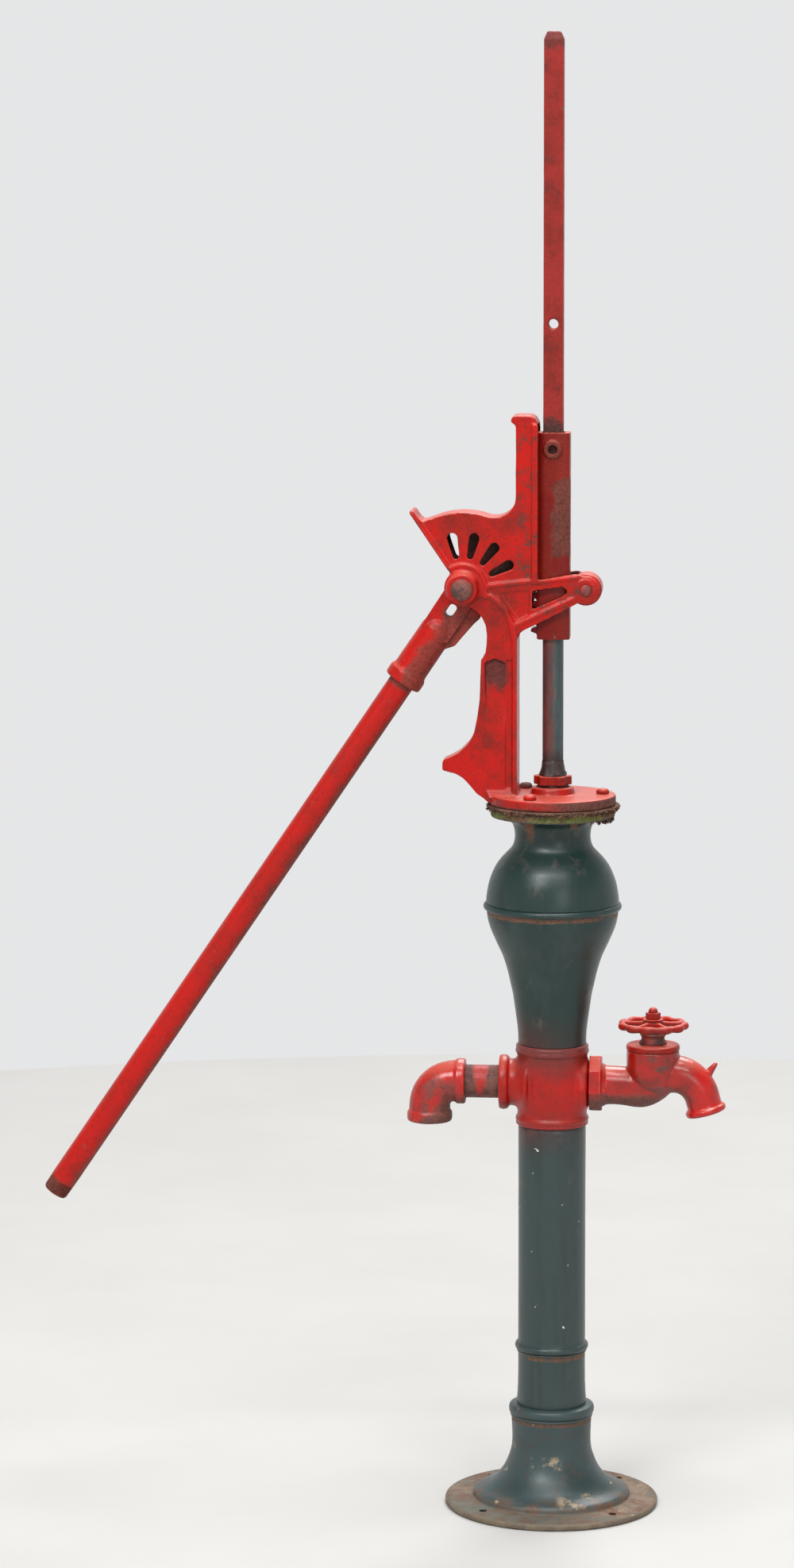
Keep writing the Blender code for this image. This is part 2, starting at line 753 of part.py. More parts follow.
def handle_pipe(material, parent):
    """Steel pipe in the lever's socket, threaded at its free end."""
    thread_start = HANDLE_END - 18
    profile = [
        (84.3, 13.3),
        (84.3, 16.7),
        (thread_start, 16.7),
        (thread_start + 1, 15.9),
        (HANDLE_END - 1, 15.6),
        (HANDLE_END, 15),
        (HANDLE_END, 13.3),
    ]
    return finish(swept(arm_stations(profile), 28), "handle_pipe", material, parent)


def slide_section():
    """Plan of the slide: flat sides towards the gear and the roller, bowed front and back."""
    middle = (SLIDE_LEFT + SLIDE_RIGHT) / 2
    half = (SLIDE_RIGHT - SLIDE_LEFT) / 2
    front = []
    for i in range(9):
        t = -1 + i / 4
        front.append((middle + half * t, -(SLIDE_HALF_DEPTH - 4 * t * t)))
    return front + [(x, -y) for x, y in reversed(front)]


def rack_slide(material, parent):
    """Slide with its gear rack, square bore and bolt boss, with its foot at height 0."""
    body = column_prism(slide_section(), 0, SLIDE_LENGTH)
    hole_height = SLIDE_HOLE_HEIGHT - SLIDE_BOTTOM
    boss = [(0, -SLIDE_HALF_DEPTH - 3.2), (11.2, -SLIDE_HALF_DEPTH - 3.2), (12, -SLIDE_HALF_DEPTH)]
    boss += [(12, SLIDE_HALF_DEPTH), (11.2, SLIDE_HALF_DEPTH + 3.2), (0, SLIDE_HALF_DEPTH + 3.2)]
    join(body, across(boss, (0, hole_height)), rack())
    bore = [(-SLIDE_BORE_HALF, -SLIDE_BORE_HALF), (SLIDE_BORE_HALF, -SLIDE_BORE_HALF)]
    bore += [(SLIDE_BORE_HALF, SLIDE_BORE_HALF), (-SLIDE_BORE_HALF, SLIDE_BORE_HALF)]
    cut(body, column_prism(bore, -10, SLIDE_LENGTH + 10))
    cut(body, cross_cylinder(6, -40, 40, (0, hole_height), 16))
    return finish(body, "rack_slide", material, parent)


def rack():
    """Gear rack on the slide's left side, with a tooth level with the pivot at rest."""
    pitch = math.pi * GEAR_MODULE
    pitch_x = PIVOT[0] + PITCH_RADIUS
    slope = math.tan(math.radians(PRESSURE_ANGLE))
    half = (math.pi * GEAR_MODULE / 2 - BACKLASH) / 2
    root_x = pitch_x + 1.25 * GEAR_MODULE
    tip_x = pitch_x - GEAR_MODULE
    base = half + slope * 1.25 * GEAR_MODULE
    tip = half - slope * GEAR_MODULE
    outline = []
    for number in range(-RACK_TEETH_BELOW_PIVOT, RACK_TEETH - RACK_TEETH_BELOW_PIVOT):
        middle = PIVOT[1] - SLIDE_BOTTOM + number * pitch
        outline += [(root_x, middle - base), (tip_x, middle - tip)]
        outline += [(tip_x, middle + tip), (root_x, middle + base)]
    inner_x = SLIDE_LEFT + 4
    top = outline[-1][1]
    bottom = outline[0][1]
    outline += [(inner_x, top), (inner_x, bottom)]
    return prism(outline, -RACK_HALF_WIDTH, RACK_HALF_WIDTH)


def square_bar(material, parent):
    """Square upper rod with a chamfered top and a cross hole, about the rod's own marker."""
    mesh = bmesh.new()
    levels = [(BAR_HALF, BAR_BOTTOM), (BAR_HALF, BAR_TOP - 10), (8.5, BAR_TOP)]
    rings = []
    for half, height in levels:
        corners = [(-half, -half), (half, -half), (half, half), (-half, half)]
        rings.append([mesh.verts.new((x * MM, y * MM, height * MM)) for x, y in corners])
    mesh.faces.new(rings[0])
    mesh.faces.new(rings[-1])
    for one, other in zip(rings, rings[1:]):
        for i in range(4):
            j = (i + 1) % 4
            mesh.faces.new((one[i], one[j], other[j], other[i]))
    bar = object_of(mesh)
    cut(bar, cross_cylinder(6.5, -30, 30, (0, BAR_HOLE_HEIGHT), 16))
    bar.data.transform(parent.matrix_world.inverted())
    return finish(bar, "square_bar", material, parent)


def pump_rod(material, parent):
    """Round lower rod, which screws onto the square bar inside the slide."""
    top = BAR_BOTTOM - GAP
    profile = [(0, ROD_BOTTOM), (ROD_RADIUS - 1, ROD_BOTTOM), (ROD_RADIUS, ROD_BOTTOM + 1)]
    profile += [(ROD_RADIUS, top), (0, top)]
    rod = turned(profile, 24)
    bake(rod)
    rod.data.transform(parent.matrix_world.inverted())
    return finish(rod, "pump_rod", material, parent)


def side_nipple(material):
    stations = [
        (-52, OUTLET_HEIGHT, 180, 17.5),
        (-52, OUTLET_HEIGHT, 180, NIPPLE_RADIUS),
        (-124, OUTLET_HEIGHT, 180, NIPPLE_RADIUS),
        (-124, OUTLET_HEIGHT, 180, 17.5),
    ]
    return finish(swept(stations, 20), "side_nipple", material)


def side_elbow(material):
    """Right-angled pipe elbow with a beaded collar at each end."""
    bend = 32
    turn_x = ELBOW_CENTRE_X + bend
    outlet_z = OUTLET_HEIGHT - bend
    face = -111.5
    path = [(face, OUTLET_HEIGHT, 180, 28), (face - 1.5, OUTLET_HEIGHT, 180, 29.1)]
    path += [(face - 12, OUTLET_HEIGHT, 180, 29.1), (turn_x, OUTLET_HEIGHT, 180, 26.5)]
    for turn in (22.5, 45, 67.5):
        x, z = arc((turn_x, outlet_z), bend, 90 + turn, 0, 1)[0]
        path.append((x, z, 180 + turn, 26))
    down = ELBOW_CENTRE_X
    path += [(down, outlet_z - 6, 270, 26.5), (down, outlet_z - 8, 270, 28.9)]
    path += [(down, outlet_z - 18.5, 270, 28.9), (down, outlet_z - 20, 270, 27.5)]
    bore = NIPPLE_RADIUS + GAP
    inside = [(down, outlet_z - 20, 270, bore), (down, outlet_z - 2, 270, bore)]
    inside += [(down, outlet_z - 1, 270, 18)]
    for turn in (60, 30):
        x, z = arc((turn_x, outlet_z), bend, 90 + turn, 0, 1)[0]
        inside.append((x, z, 180 + turn, 18))
    inside += [(turn_x + 0.5, OUTLET_HEIGHT, 180, 18), (turn_x + 1.2, OUTLET_HEIGHT, 180, bore)]
    inside += [(face, OUTLET_HEIGHT, 180, bore)]
    return finish(swept(path + inside, 20), "side_elbow", material)


def faucet_body(material):
    """Faucet casting: wrench collar, inlet, globe with its seat, and spout with a bucket hook."""
    face = 48.2
    collar = [
        (face, OUTLET_HEIGHT, 0, 0),
        (face, OUTLET_HEIGHT, 0, 37.5),
        (face + 15.8, OUTLET_HEIGHT, 0, 37.5),
        (face + 15.8, OUTLET_HEIGHT, 0, 0),
    ]
    inlet = [
        (32, OUTLET_HEIGHT, 0, 0),
        (32, OUTLET_HEIGHT, 0, 21),
        (face + 1, OUTLET_HEIGHT, 0, 21),
        (face + 1, OUTLET_HEIGHT, 0, 28),
        (face + 18, 546.6, 0, 26.5),
        (face + 22, 546.6, 0, 24.6),
        (92, 546.3, -4, 24.6),
        (107, 543.7, -3, 25),
        (117, 543.8, 8, 24.8),
        (127.5, 547.8, 25, 24),
        (136, 553.5, 42, 22.5),
        (141, 558, 45, 20),
        (141, 558, 45, 0),
    ]
    globe = [
        (0, 532),
        (11, 534),
        (22, 541),
        (29.5, 551),
        (33, 562),
        (33.7, 570),
        (33.7, GLOBE_TOP),
        (0, GLOBE_TOP),
    ]
    spout, water = spout_stations()
    body = turned(globe, 24, (FAUCET_AXIS_X, 0))
    pip = across([(0, -20), (3.8, -20), (3.8, -26.2), (2.4, -27.6), (0, -28)], (67, 542.4), 10)
    join(body, swept(inlet, 20), swept(collar, 8, 9.5), swept(spout, 20), spout_hook(), pip)
    passage = [
        (20, OUTLET_HEIGHT, 0, 0),
        (20, OUTLET_HEIGHT, 0, 17),
        (70, 547, -2, 17),
        (105, 542.5, -3, 15),
        (118, 543.5, 8, 13),
        (127, 548, 25, 12),
        (127, 548, 25, 0),
    ]
    seat = upright_cylinder(11, 545, 560, (FAUCET_AXIS_X, 0))
    chamber = upright_cylinder(25.8, 557, 600, (FAUCET_AXIS_X, 0), 24, 4)
    cut(body, swept(passage, 12), seat, chamber, swept(water, 12))
    return finish(body, "faucet_body", material)


def spout_stations():
    """Centre lines of the spout and of the water way in it, curving from the globe to the outlet."""
    start = (155, 562.5)
    bend = 39
    centre = (start[0], start[1] - bend)
    outside = [(FAUCET_AXIS_X + 8, start[1], 0, 0), (FAUCET_AXIS_X + 8, start[1], 0, 23)]
    inside = [(FAUCET_AXIS_X + 14, start[1] + 2, 0, 0), (FAUCET_AXIS_X + 14, start[1] + 2, 0, 14)]
    for i in range(5):
        turn = SPOUT_TILT * i / 4
        x, z = arc(centre, bend, 90 - turn, 0, 1)[0]
        outside.append((x, z, -turn, 24.4 - 0.45 * i))
        inside.append((x, z, -turn, 16))
    a = math.radians(-SPOUT_TILT)
    for distance, radius in ((13, 22.4), (14.5, 25.6), (20.5, 26.2), (22, 25)):
        outside.append((x + distance * math.cos(a), z + distance * math.sin(a), -SPOUT_TILT, radius))
    end = outside[-1]
    outside.append((end[0], end[1], -SPOUT_TILT, 0))
    inside.append((x + 30 * math.cos(a), z + 30 * math.sin(a), -SPOUT_TILT, 17))
    inside.append((x + 30 * math.cos(a), z + 30 * math.sin(a), -SPOUT_TILT, 0))
    return outside, inside


def spout_hook():
    """Small horn on the spout's back that keeps a bucket's bail in place."""
    outline = [(196, 545), (197, 566), (203, 568.5), (209.5, 577.5), (213, 577.5), (212, 568), (208, 552)]
    return prism(outline, -5, 5)


def faucet_bonnet(material):
    bore = 6.4
    profile = [
        (bore, 577),
        (25.4, 577),
        (25.4, GLOBE_TOP + GAP),
        (34.3, GLOBE_TOP + GAP),
        (34.3, 599),
        (32.8, 600.6),
        (20, 601.5),
        (bore, 601.5),
    ]
    bonnet = turned(profile, 24, (FAUCET_AXIS_X, 0))
    bake(bonnet)
    return finish(bonnet, "faucet_bonnet", material)


def stem_gland_nut(material):
    bore = 6.4
    profile = [(bore, 601.8), (17.4, 601.8), (17, 606), (16.2, 611), (15, 614.5), (bore, 614.5)]
    nut = turned(profile, 24, (FAUCET_AXIS_X, 0))
    bake(nut)
    return finish(nut, "stem_gland_nut", material)


def valve_disc(material, parent):
    """Disc below the stem, about the faucet's axis with its foot at height 0."""
    profile = [(0, 3.2), (13.5, 3.2), (14, 4), (14, 8), (9, 9.5), (0, 9.5)]
    return finish(turned(profile, 24), "valve_disc", material, parent)


def valve_washer(material, parent):
    profile = [(0, 0.3), (13, 0.3), (13.6, 1), (13.6, 2.9), (0, 2.9)]
    return finish(turned(profile, 24), "valve_washer", material, parent)


def valve_stem(material, parent):
    """Stem about the wheel's own marker, with its threaded tip above the wheel's nut."""
    profile = [(0, -58.2), (6, -58.2), (6, 20), (4.6, 22.5), (0, 23)]
    return finish(turned(profile, 16), "valve_stem", material, parent)


def handwheel(material, parent):
    """Lobed rim, five spokes and a hub, about the stem."""
    lobes = 11
    steps = 55
    around = 6
    mesh = bmesh.new()
    rings = []
    for i in range(steps):
        a = math.tau * i / steps
        swell = 0.5 + 0.5 * math.cos(lobes * a)
        thick = 4.2 + 0.9 * swell
        middle = 38.6 + 2.3 * swell
        ring = []
        for j in range(around):
            b = math.tau * j / around
            reach = middle + thick * math.cos(b)
            point = (reach * math.cos(a), reach * math.sin(a), thick * math.sin(b))
            ring.append(mesh.verts.new([value * MM for value in point]))
        rings.append(ring)
    for i in range(steps):
        one, other = rings[i], rings[(i + 1) % steps]
        for j in range(around):
            k = (j + 1) % around
            mesh.faces.new((one[j], one[k], other[k], other[j]))
    rim = object_of(mesh)
    spokes = []
    for i in range(5):
        a = 18 + 72 * i
        stations = [(8, 1, 0, 0), (8, 1, 0, 4.2), (24, 0.5, 0, 3.2), (38, 0, 0, 3.6), (38, 0, 0, 0)]
        spoke = swept(stations, 8, 22.5)
        spoke.rotation_euler = (0, 0, math.radians(a))
        spokes.append(spoke)
    hub = [(0, -9.5), (9, -9.5), (11, -7), (11, 4.5), (9.5, 6), (0, 6)]
    join(rim, turned(hub, 20), *spokes)
    cut(rim, upright_cylinder(6 + GAP, -20, 20, steps=16))
    return finish(rim, "handwheel", material, parent)


def wheel_washer(material, parent):
    profile = [(6 + GAP, 6.3), (13.2, 6.3), (13.2, 8.1), (6 + GAP, 8.1)]
    return finish(turned(profile, 24), "wheel_washer", material, parent)


def wheel_nut(material, parent):
    nut = column_prism(hexagon(17), 8.4, 16.5)
    cut(nut, upright_cylinder(6 + GAP, 0, 30, steps=16))
    return finish(nut, "wheel_nut", material, parent)


def main():
    clear_scene()
    red = paint("red_paint", (0.55, 0.025, 0.015), 0.42)
    green = paint("green_paint", (0.045, 0.085, 0.078), 0.45)
    rust = paint("rusty_iron", (0.16, 0.07, 0.045), 0.8, 0.3)
    steel = paint("bare_steel", (0.35, 0.33, 0.31), 0.5, 0.9)
    fibre = paint("gasket_fibre", (0.13, 0.11, 0.05), 0.95)
    leather = paint("packing_fibre", (0.09, 0.07, 0.05), 0.9)

    base_flange(green)
    column(green)
    cross_fitting(red)
    air_chamber(green)
    cap_gasket(fibre)
    bearer_stand(red)
    cap_bolts((red, rust, red))
    rod_packing(leather)
    gland_nut(red)
    fulcrum_pin(rust)
    fulcrum_nut(rust)
    roller_pin(rust)
    side_nipple(rust)
    side_elbow(red)
    faucet_body(red)
    faucet_bonnet(red)
    stem_gland_nut(rust)

    lever_axis = empty("lever_axis", PIVOT[0], 0, PIVOT[1])
    roller_axis = empty("roller_axis", ROLLER_CENTRE[0], 0, ROLLER_CENTRE[1])
    slide_foot = empty("slide_foot", 0, 0, SLIDE_BOTTOM)
    rod_foot = empty("rod_foot", 0, 0, ROD_BOTTOM)
    seat_centre = empty("seat_centre", FAUCET_AXIS_X, 0, 557)
    wheel_centre = empty("wheel_centre", FAUCET_AXIS_X, 0, 625)
    bpy.context.view_layer.update()

    lever(red, lever_axis)
    handle_pipe(red, lever_axis)
    guide_roller(red, roller_axis)
    rack_slide(red, slide_foot)
    square_bar(red, rod_foot)
    pump_rod(rust, rod_foot)
    valve_disc(steel, seat_centre)
    valve_washer(leather, seat_centre)
    valve_stem(rust, wheel_centre)
    handwheel(red, wheel_centre)
    wheel_washer(red, wheel_centre)
    wheel_nut(red, wheel_centre)


main()
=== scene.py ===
import math
import random

import bmesh
import bpy
from mathutils import Matrix, Vector


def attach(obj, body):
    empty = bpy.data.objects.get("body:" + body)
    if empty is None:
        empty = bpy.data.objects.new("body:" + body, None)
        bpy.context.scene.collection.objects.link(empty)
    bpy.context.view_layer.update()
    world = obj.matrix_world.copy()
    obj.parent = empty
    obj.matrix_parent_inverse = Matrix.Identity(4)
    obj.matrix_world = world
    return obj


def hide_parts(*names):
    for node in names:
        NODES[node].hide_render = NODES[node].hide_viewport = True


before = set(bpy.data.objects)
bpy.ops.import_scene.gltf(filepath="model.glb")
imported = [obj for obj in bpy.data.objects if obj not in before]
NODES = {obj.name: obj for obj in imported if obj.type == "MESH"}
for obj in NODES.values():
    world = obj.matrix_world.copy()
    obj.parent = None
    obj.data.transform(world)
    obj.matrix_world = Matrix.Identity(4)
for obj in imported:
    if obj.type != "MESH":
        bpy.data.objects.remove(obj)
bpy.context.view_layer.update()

# Lengths are in millimetres, except where a comment says metres.
MM = 0.001
PIVOT = Vector((-114, 0, 1189))
ARM_HEADING = math.radians(236)
ARM_OFFSET = 3.2
OUTLET = 548.5
FAUCET_X = 129.5
ROLLER = (42.6, 0, 1187.5)
ALONG_ARM = Vector((math.cos(ARM_HEADING), 0, math.sin(ARM_HEADING)))
ARM_UP = Vector((-ALONG_ARM.z, 0, ALONG_ARM.x))
ARM_UNDER = -ARM_UP if ARM_UP.x < 0 else ARM_UP
FLOOR_RADIUS = 2.95  # metres
FRINGE_REACH = 89.0
FLATS_TURN = math.radians(9.5)
BOLT_CIRCLE_RADIUS = 117
BOLT_HOLE_RADIUS = 5.2
BOLT_OFFSET = 0.08273  # metres; each bolt hole in X and in Y
WHEEL_HEIGHT = 625
WHEEL_LOBES = 11
HANDLE_END = 957
CAMERA_AT = (0.349, -6.33, 1.84)  # metres
CAMERA_YAW = math.radians(4.96)
CAMERA_PITCH = math.radians(3.99)
CAMERA_LENS = 114.4
CAMERA_SHIFT = -0.2298
LAMPS_AIM = Vector((0, 0, 0.9))  # metres
LAMPS = (  # name, place, width and height in metres, watts
    ("key", (-2.4, -4.6, 5.4), 2.2, 2.0, 190),
    ("strip", (0.2, -3.4, 4.6), 4.2, 0.5, 110),
    ("front", (2.6, -6.5, 2.6), 2.0, 2.6, 55),
    ("top", (0.3, -0.2, 5.6), 2.2, 2.0, 170),
    ("back", (0.8, 4.6, 6.0), 3.6, 3.0, 330),
)


def linear(red, green, blue):
    """An sRGB colour of 0 to 255 as linear RGBA."""
    made = []
    for value in (red, green, blue):
        value /= 255
        made.append(value / 12.92 if value <= 0.04045 else ((value + 0.055) / 1.055) ** 2.4)
    return (*made, 1)


BRIGHT_RED = linear(176, 12, 2)
DULL_RED = linear(124, 26, 14)
DEEP_RED = linear(86, 20, 12)
# Pale pink for painted highlights on red edges and up-facing surfaces.
PAINTED_HIGHLIGHT_PINK = linear(192, 88, 74)
RUST = linear(94, 60, 50)
DARK_RUST_AND_SHADE = linear(66, 42, 38)
ORANGE_RUST = linear(120, 74, 46)
GREY_METAL = linear(112, 88, 84)
TEAL = linear(24, 46, 43)
GREY_GREEN = linear(47, 62, 61)
DARK_GREEN = linear(26, 34, 34)
MOSS = linear(112, 112, 52)
MOSS_BROWN = linear(112, 82, 58)
TAN = linear(176, 158, 122)
SOOT_AND_SHADE = linear(34, 28, 26)
WHITE_FLECK = linear(196, 204, 202)


class Paint:
    """One material's node graph, with short names for the nodes that it uses."""

    def __init__(self, name):
        self.material = bpy.data.materials.new(name)
        self.material.use_nodes = True
        self.tree = self.material.node_tree
        self.shader = self.tree.nodes["Principled BSDF"]
        place = self.tree.nodes.new("ShaderNodeTexCoord")
        self.place = place.outputs["Object"]
        self.normal = place.outputs["Normal"]
        self.x, self.y, self.z = self.parts(self.place)
        self.nx, self.ny, self.nz = self.parts(self.normal)
        self.point = self.tree.nodes.new("ShaderNodeNewGeometry").outputs["Pointiness"]

    def put(self, socket, value):
        if isinstance(value, bpy.types.NodeSocket):
            self.tree.links.new(value, socket)
        else:
            socket.default_value = value

    def parts(self, vector):
        node = self.tree.nodes.new("ShaderNodeSeparateXYZ")
        self.put(node.inputs[0], vector)
        return node.outputs

    def math(self, operation, *values):
        node = self.tree.nodes.new("ShaderNodeMath")
        node.operation = operation
        for socket, value in zip(node.inputs, values):
            self.put(socket, value)
        return node.outputs[0]

    def add(self, *values):
        total = values[0]
        for value in values[1:]:
            total = self.math("ADD", total, value)
        return total

    def times(self, *values):
        total = values[0]
        for value in values[1:]:
            total = self.math("MULTIPLY", total, value)
        return total

    def most(self, *values):
        total = values[0]
        for value in values[1:]:
            total = self.math("MAXIMUM", total, value)
        return total

    def size(self, value):
        """The value without its sign."""
        return self.math("ABSOLUTE", value)

    def length(self, one, other):
        """Length of the vector with these two components."""
        return self.math("SQRT", self.add(self.times(one, one), self.times(other, other)))

    def sway(self, value, noise, reach):
        """The value, moved up and down by the noise."""
        return self.add(value, self.times(self.add(noise, -0.5), reach))

    def dot(self, vector, direction):
        node = self.tree.nodes.new("ShaderNodeVectorMath")
        node.operation = "DOT_PRODUCT"
        self.put(node.inputs[0], vector)
        node.inputs[1].default_value = direction
        return node.outputs["Value"]

    def step(self, value, low, high, share=None):
        """0 below low and 1 above high, smoothly between; low above high turns it round; share scales it."""
        node = self.tree.nodes.new("ShaderNodeMapRange")
        node.interpolation_type = "SMOOTHSTEP"
        self.put(node.inputs["Value"], value)
        turned = low > high
        node.inputs["From Min"].default_value = min(low, high)
        node.inputs["From Max"].default_value = max(low, high)
        node.inputs["To Min"].default_value = 1 if turned else 0
        node.inputs["To Max"].default_value = 0 if turned else 1
        if share is None:
            return node.outputs["Result"]
        return self.times(node.outputs["Result"], share)

    def band(self, value, low, high, soft):
        """1 between low and high, falling to 0 over soft on both sides."""
        return self.times(self.step(value, low - soft, low), self.step(value, high + soft, high))

    def noise(self, scale, detail=4, roughness=0.6, stretch=(1, 1, 1), offset=0.0):
        where = self.tree.nodes.new("ShaderNodeMapping")
        self.put(where.inputs["Vector"], self.place)
        where.inputs["Scale"].default_value = stretch
        where.inputs["Location"].default_value = (offset, offset * 0.7, -offset)
        node = self.tree.nodes.new("ShaderNodeTexNoise")
        self.put(node.inputs["Vector"], where.outputs[0])
        node.inputs["Scale"].default_value = scale
        node.inputs["Detail"].default_value = detail
        node.inputs["Roughness"].default_value = roughness
        return node.outputs["Fac"]

    def mix(self, share, one, other):
        node = self.tree.nodes.new("ShaderNodeMix")
        node.data_type = "RGBA"
        self.put(node.inputs[0], share)
        self.put(node.inputs[6], one)
        self.put(node.inputs[7], other)
        return node.outputs[2]

    def blend(self, share, one, other):
        node = self.tree.nodes.new("ShaderNodeMix")
        node.data_type = "FLOAT"
        self.put(node.inputs[0], share)
        self.put(node.inputs[2], one)
        self.put(node.inputs[3], other)
        return node.outputs[0]

    def done(self, colour, roughness, height, bump=0.3, specular=0.5, metallic=None):
        self.put(self.shader.inputs["Base Color"], colour)
        self.put(self.shader.inputs["Roughness"], roughness)
        self.shader.inputs["Specular IOR Level"].default_value = specular
        if metallic is not None:
            self.put(self.shader.inputs["Metallic"], metallic)
        node = self.tree.nodes.new("ShaderNodeBump")
        node.inputs["Strength"].default_value = bump
        node.inputs["Distance"].default_value = 0.001
        self.put(node.inputs["Height"], height)
        self.put(self.shader.inputs["Normal"], node.outputs[0])
        return self.material


def red_enamel(name, region=None, grime_and_shade=None, rust=0.5, under=0.85, chips=0.6, gloss=0.29, dull=0.55,
        bright=BRIGHT_RED, overspray=None, sheen=0.26, marks=0.94):
    """Brushed red enamel over cast iron: patchy red, painted highlights on edges and tops, brown undersides
    of rust and painted shade, painted shade in creases, chips and pits.
    """
    p = Paint(name)
    broad = p.noise(9, 3, 0.55)
    mid = p.noise(42, 5, 0.65)
    fine = p.noise(240, 4, 0.7)
    pepper = p.noise(620, 3, 0.6, offset=3)
    colour = p.mix(p.step(p.add(broad, p.times(mid, 0.5)), 0.62, 0.92, dull + 0.2), bright, DULL_RED)
    colour = p.mix(p.step(fine, 0.50, 0.70, 0.5), colour, DEEP_RED)
    colour = p.mix(p.step(p.add(mid, p.times(broad, 0.4)), 0.68, 0.88, 0.4 * dull + 0.1), colour, DEEP_RED)
    # Convex edges: the pale pink mixed into the colour is a painted highlight; the same mask rubs rust onto
    # edges further down.
    edge = p.step(p.sway(p.point, fine, 0.05), 0.515, 0.60)
    colour = p.mix(p.times(edge, 0.34), colour, PAINTED_HIGHLIGHT_PINK)
    # Painted highlight: up-facing surfaces mixed toward pale pink, standing in for the overhead lamps' sheen.
    painted_top_highlight = p.step(p.sway(p.nz, mid, 0.4), 0.35, 1.0, 0.72)
    colour = p.mix(painted_top_highlight, colour, PAINTED_HIGHLIGHT_PINK)
    # Painted shade: concave creases darkened toward deep red.
    crease_shade = p.step(p.sway(p.point, mid, 0.04), 0.485, 0.43)
    colour = p.mix(p.times(crease_shade, 0.55), colour, DEEP_RED)
    # Down-facing surfaces turn brown: underside rust, and painted shade under things.
    below = p.step(p.sway(p.times(p.nz, -1), mid, 1.5), 0.18, 0.85)
    below = p.times(below, under)
    scatter = p.times(p.step(mid, 0.60, 0.70), p.step(broad, 0.46, 0.62), rust)
    rubbed = p.times(edge, p.step(mid, 0.44, 0.60), rust, 0.8)
    wear_and_under_shade = p.most(below, scatter, rubbed)
    brown = p.mix(p.step(fine, 0.42, 0.62), RUST, DARK_RUST_AND_SHADE)
    brown = p.mix(p.step(pepper, 0.5, 0.66, 0.4), brown, ORANGE_RUST)
    speck = p.times(p.step(wear_and_under_shade, 0.2, 0.8), p.step(p.add(p.times(fine, 0.5), p.times(mid, 0.6)), 0.66, 0.44))
    wear_and_under_shade = p.blend(0.5, wear_and_under_shade, speck)
    if region:
        wear_and_under_shade = p.most(wear_and_under_shade, p.times(region(p, mid, fine), marks))
    colour = p.mix(wear_and_under_shade, colour, brown)
    chip = p.step(p.noise(150, 4, 0.7, offset=9), 0.635, 0.665)
    chip = p.times(chip, p.step(p.noise(14, 3, 0.6, offset=5), 0.47, 0.6), chips)
    colour = p.mix(chip, colour, p.mix(p.step(pepper, 0.45, 0.6), GREY_METAL, DARK_RUST_AND_SHADE))
    if overspray:
        share, other = overspray(p, broad, mid)
        colour = p.mix(share, colour, other)
    roughness = p.add(p.sway(gloss, mid, 0.22), p.times(fine, 0.08))
    roughness = p.blend(p.most(wear_and_under_shade, chip), roughness, 0.74)
    # Second mask darkens toward near-black: painted shade on the stand, lever and gland nut, real dirt on the
    # bar.
    if grime_and_shade:
        share = grime_and_shade(p, mid, fine)
        colour = p.mix(share, colour, p.mix(p.step(fine, 0.45, 0.6), DARK_RUST_AND_SHADE, SOOT_AND_SHADE))
        roughness = p.blend(share, roughness, 0.7)
    height = p.add(p.times(mid, 0.9), p.times(fine, 0.42), p.times(pepper, 0.10))
    height = p.add(height, p.times(chip, -0.35), p.times(wear_and_under_shade, -0.12))
    return p.done(colour, roughness, height, 0.45, specular=sheen)


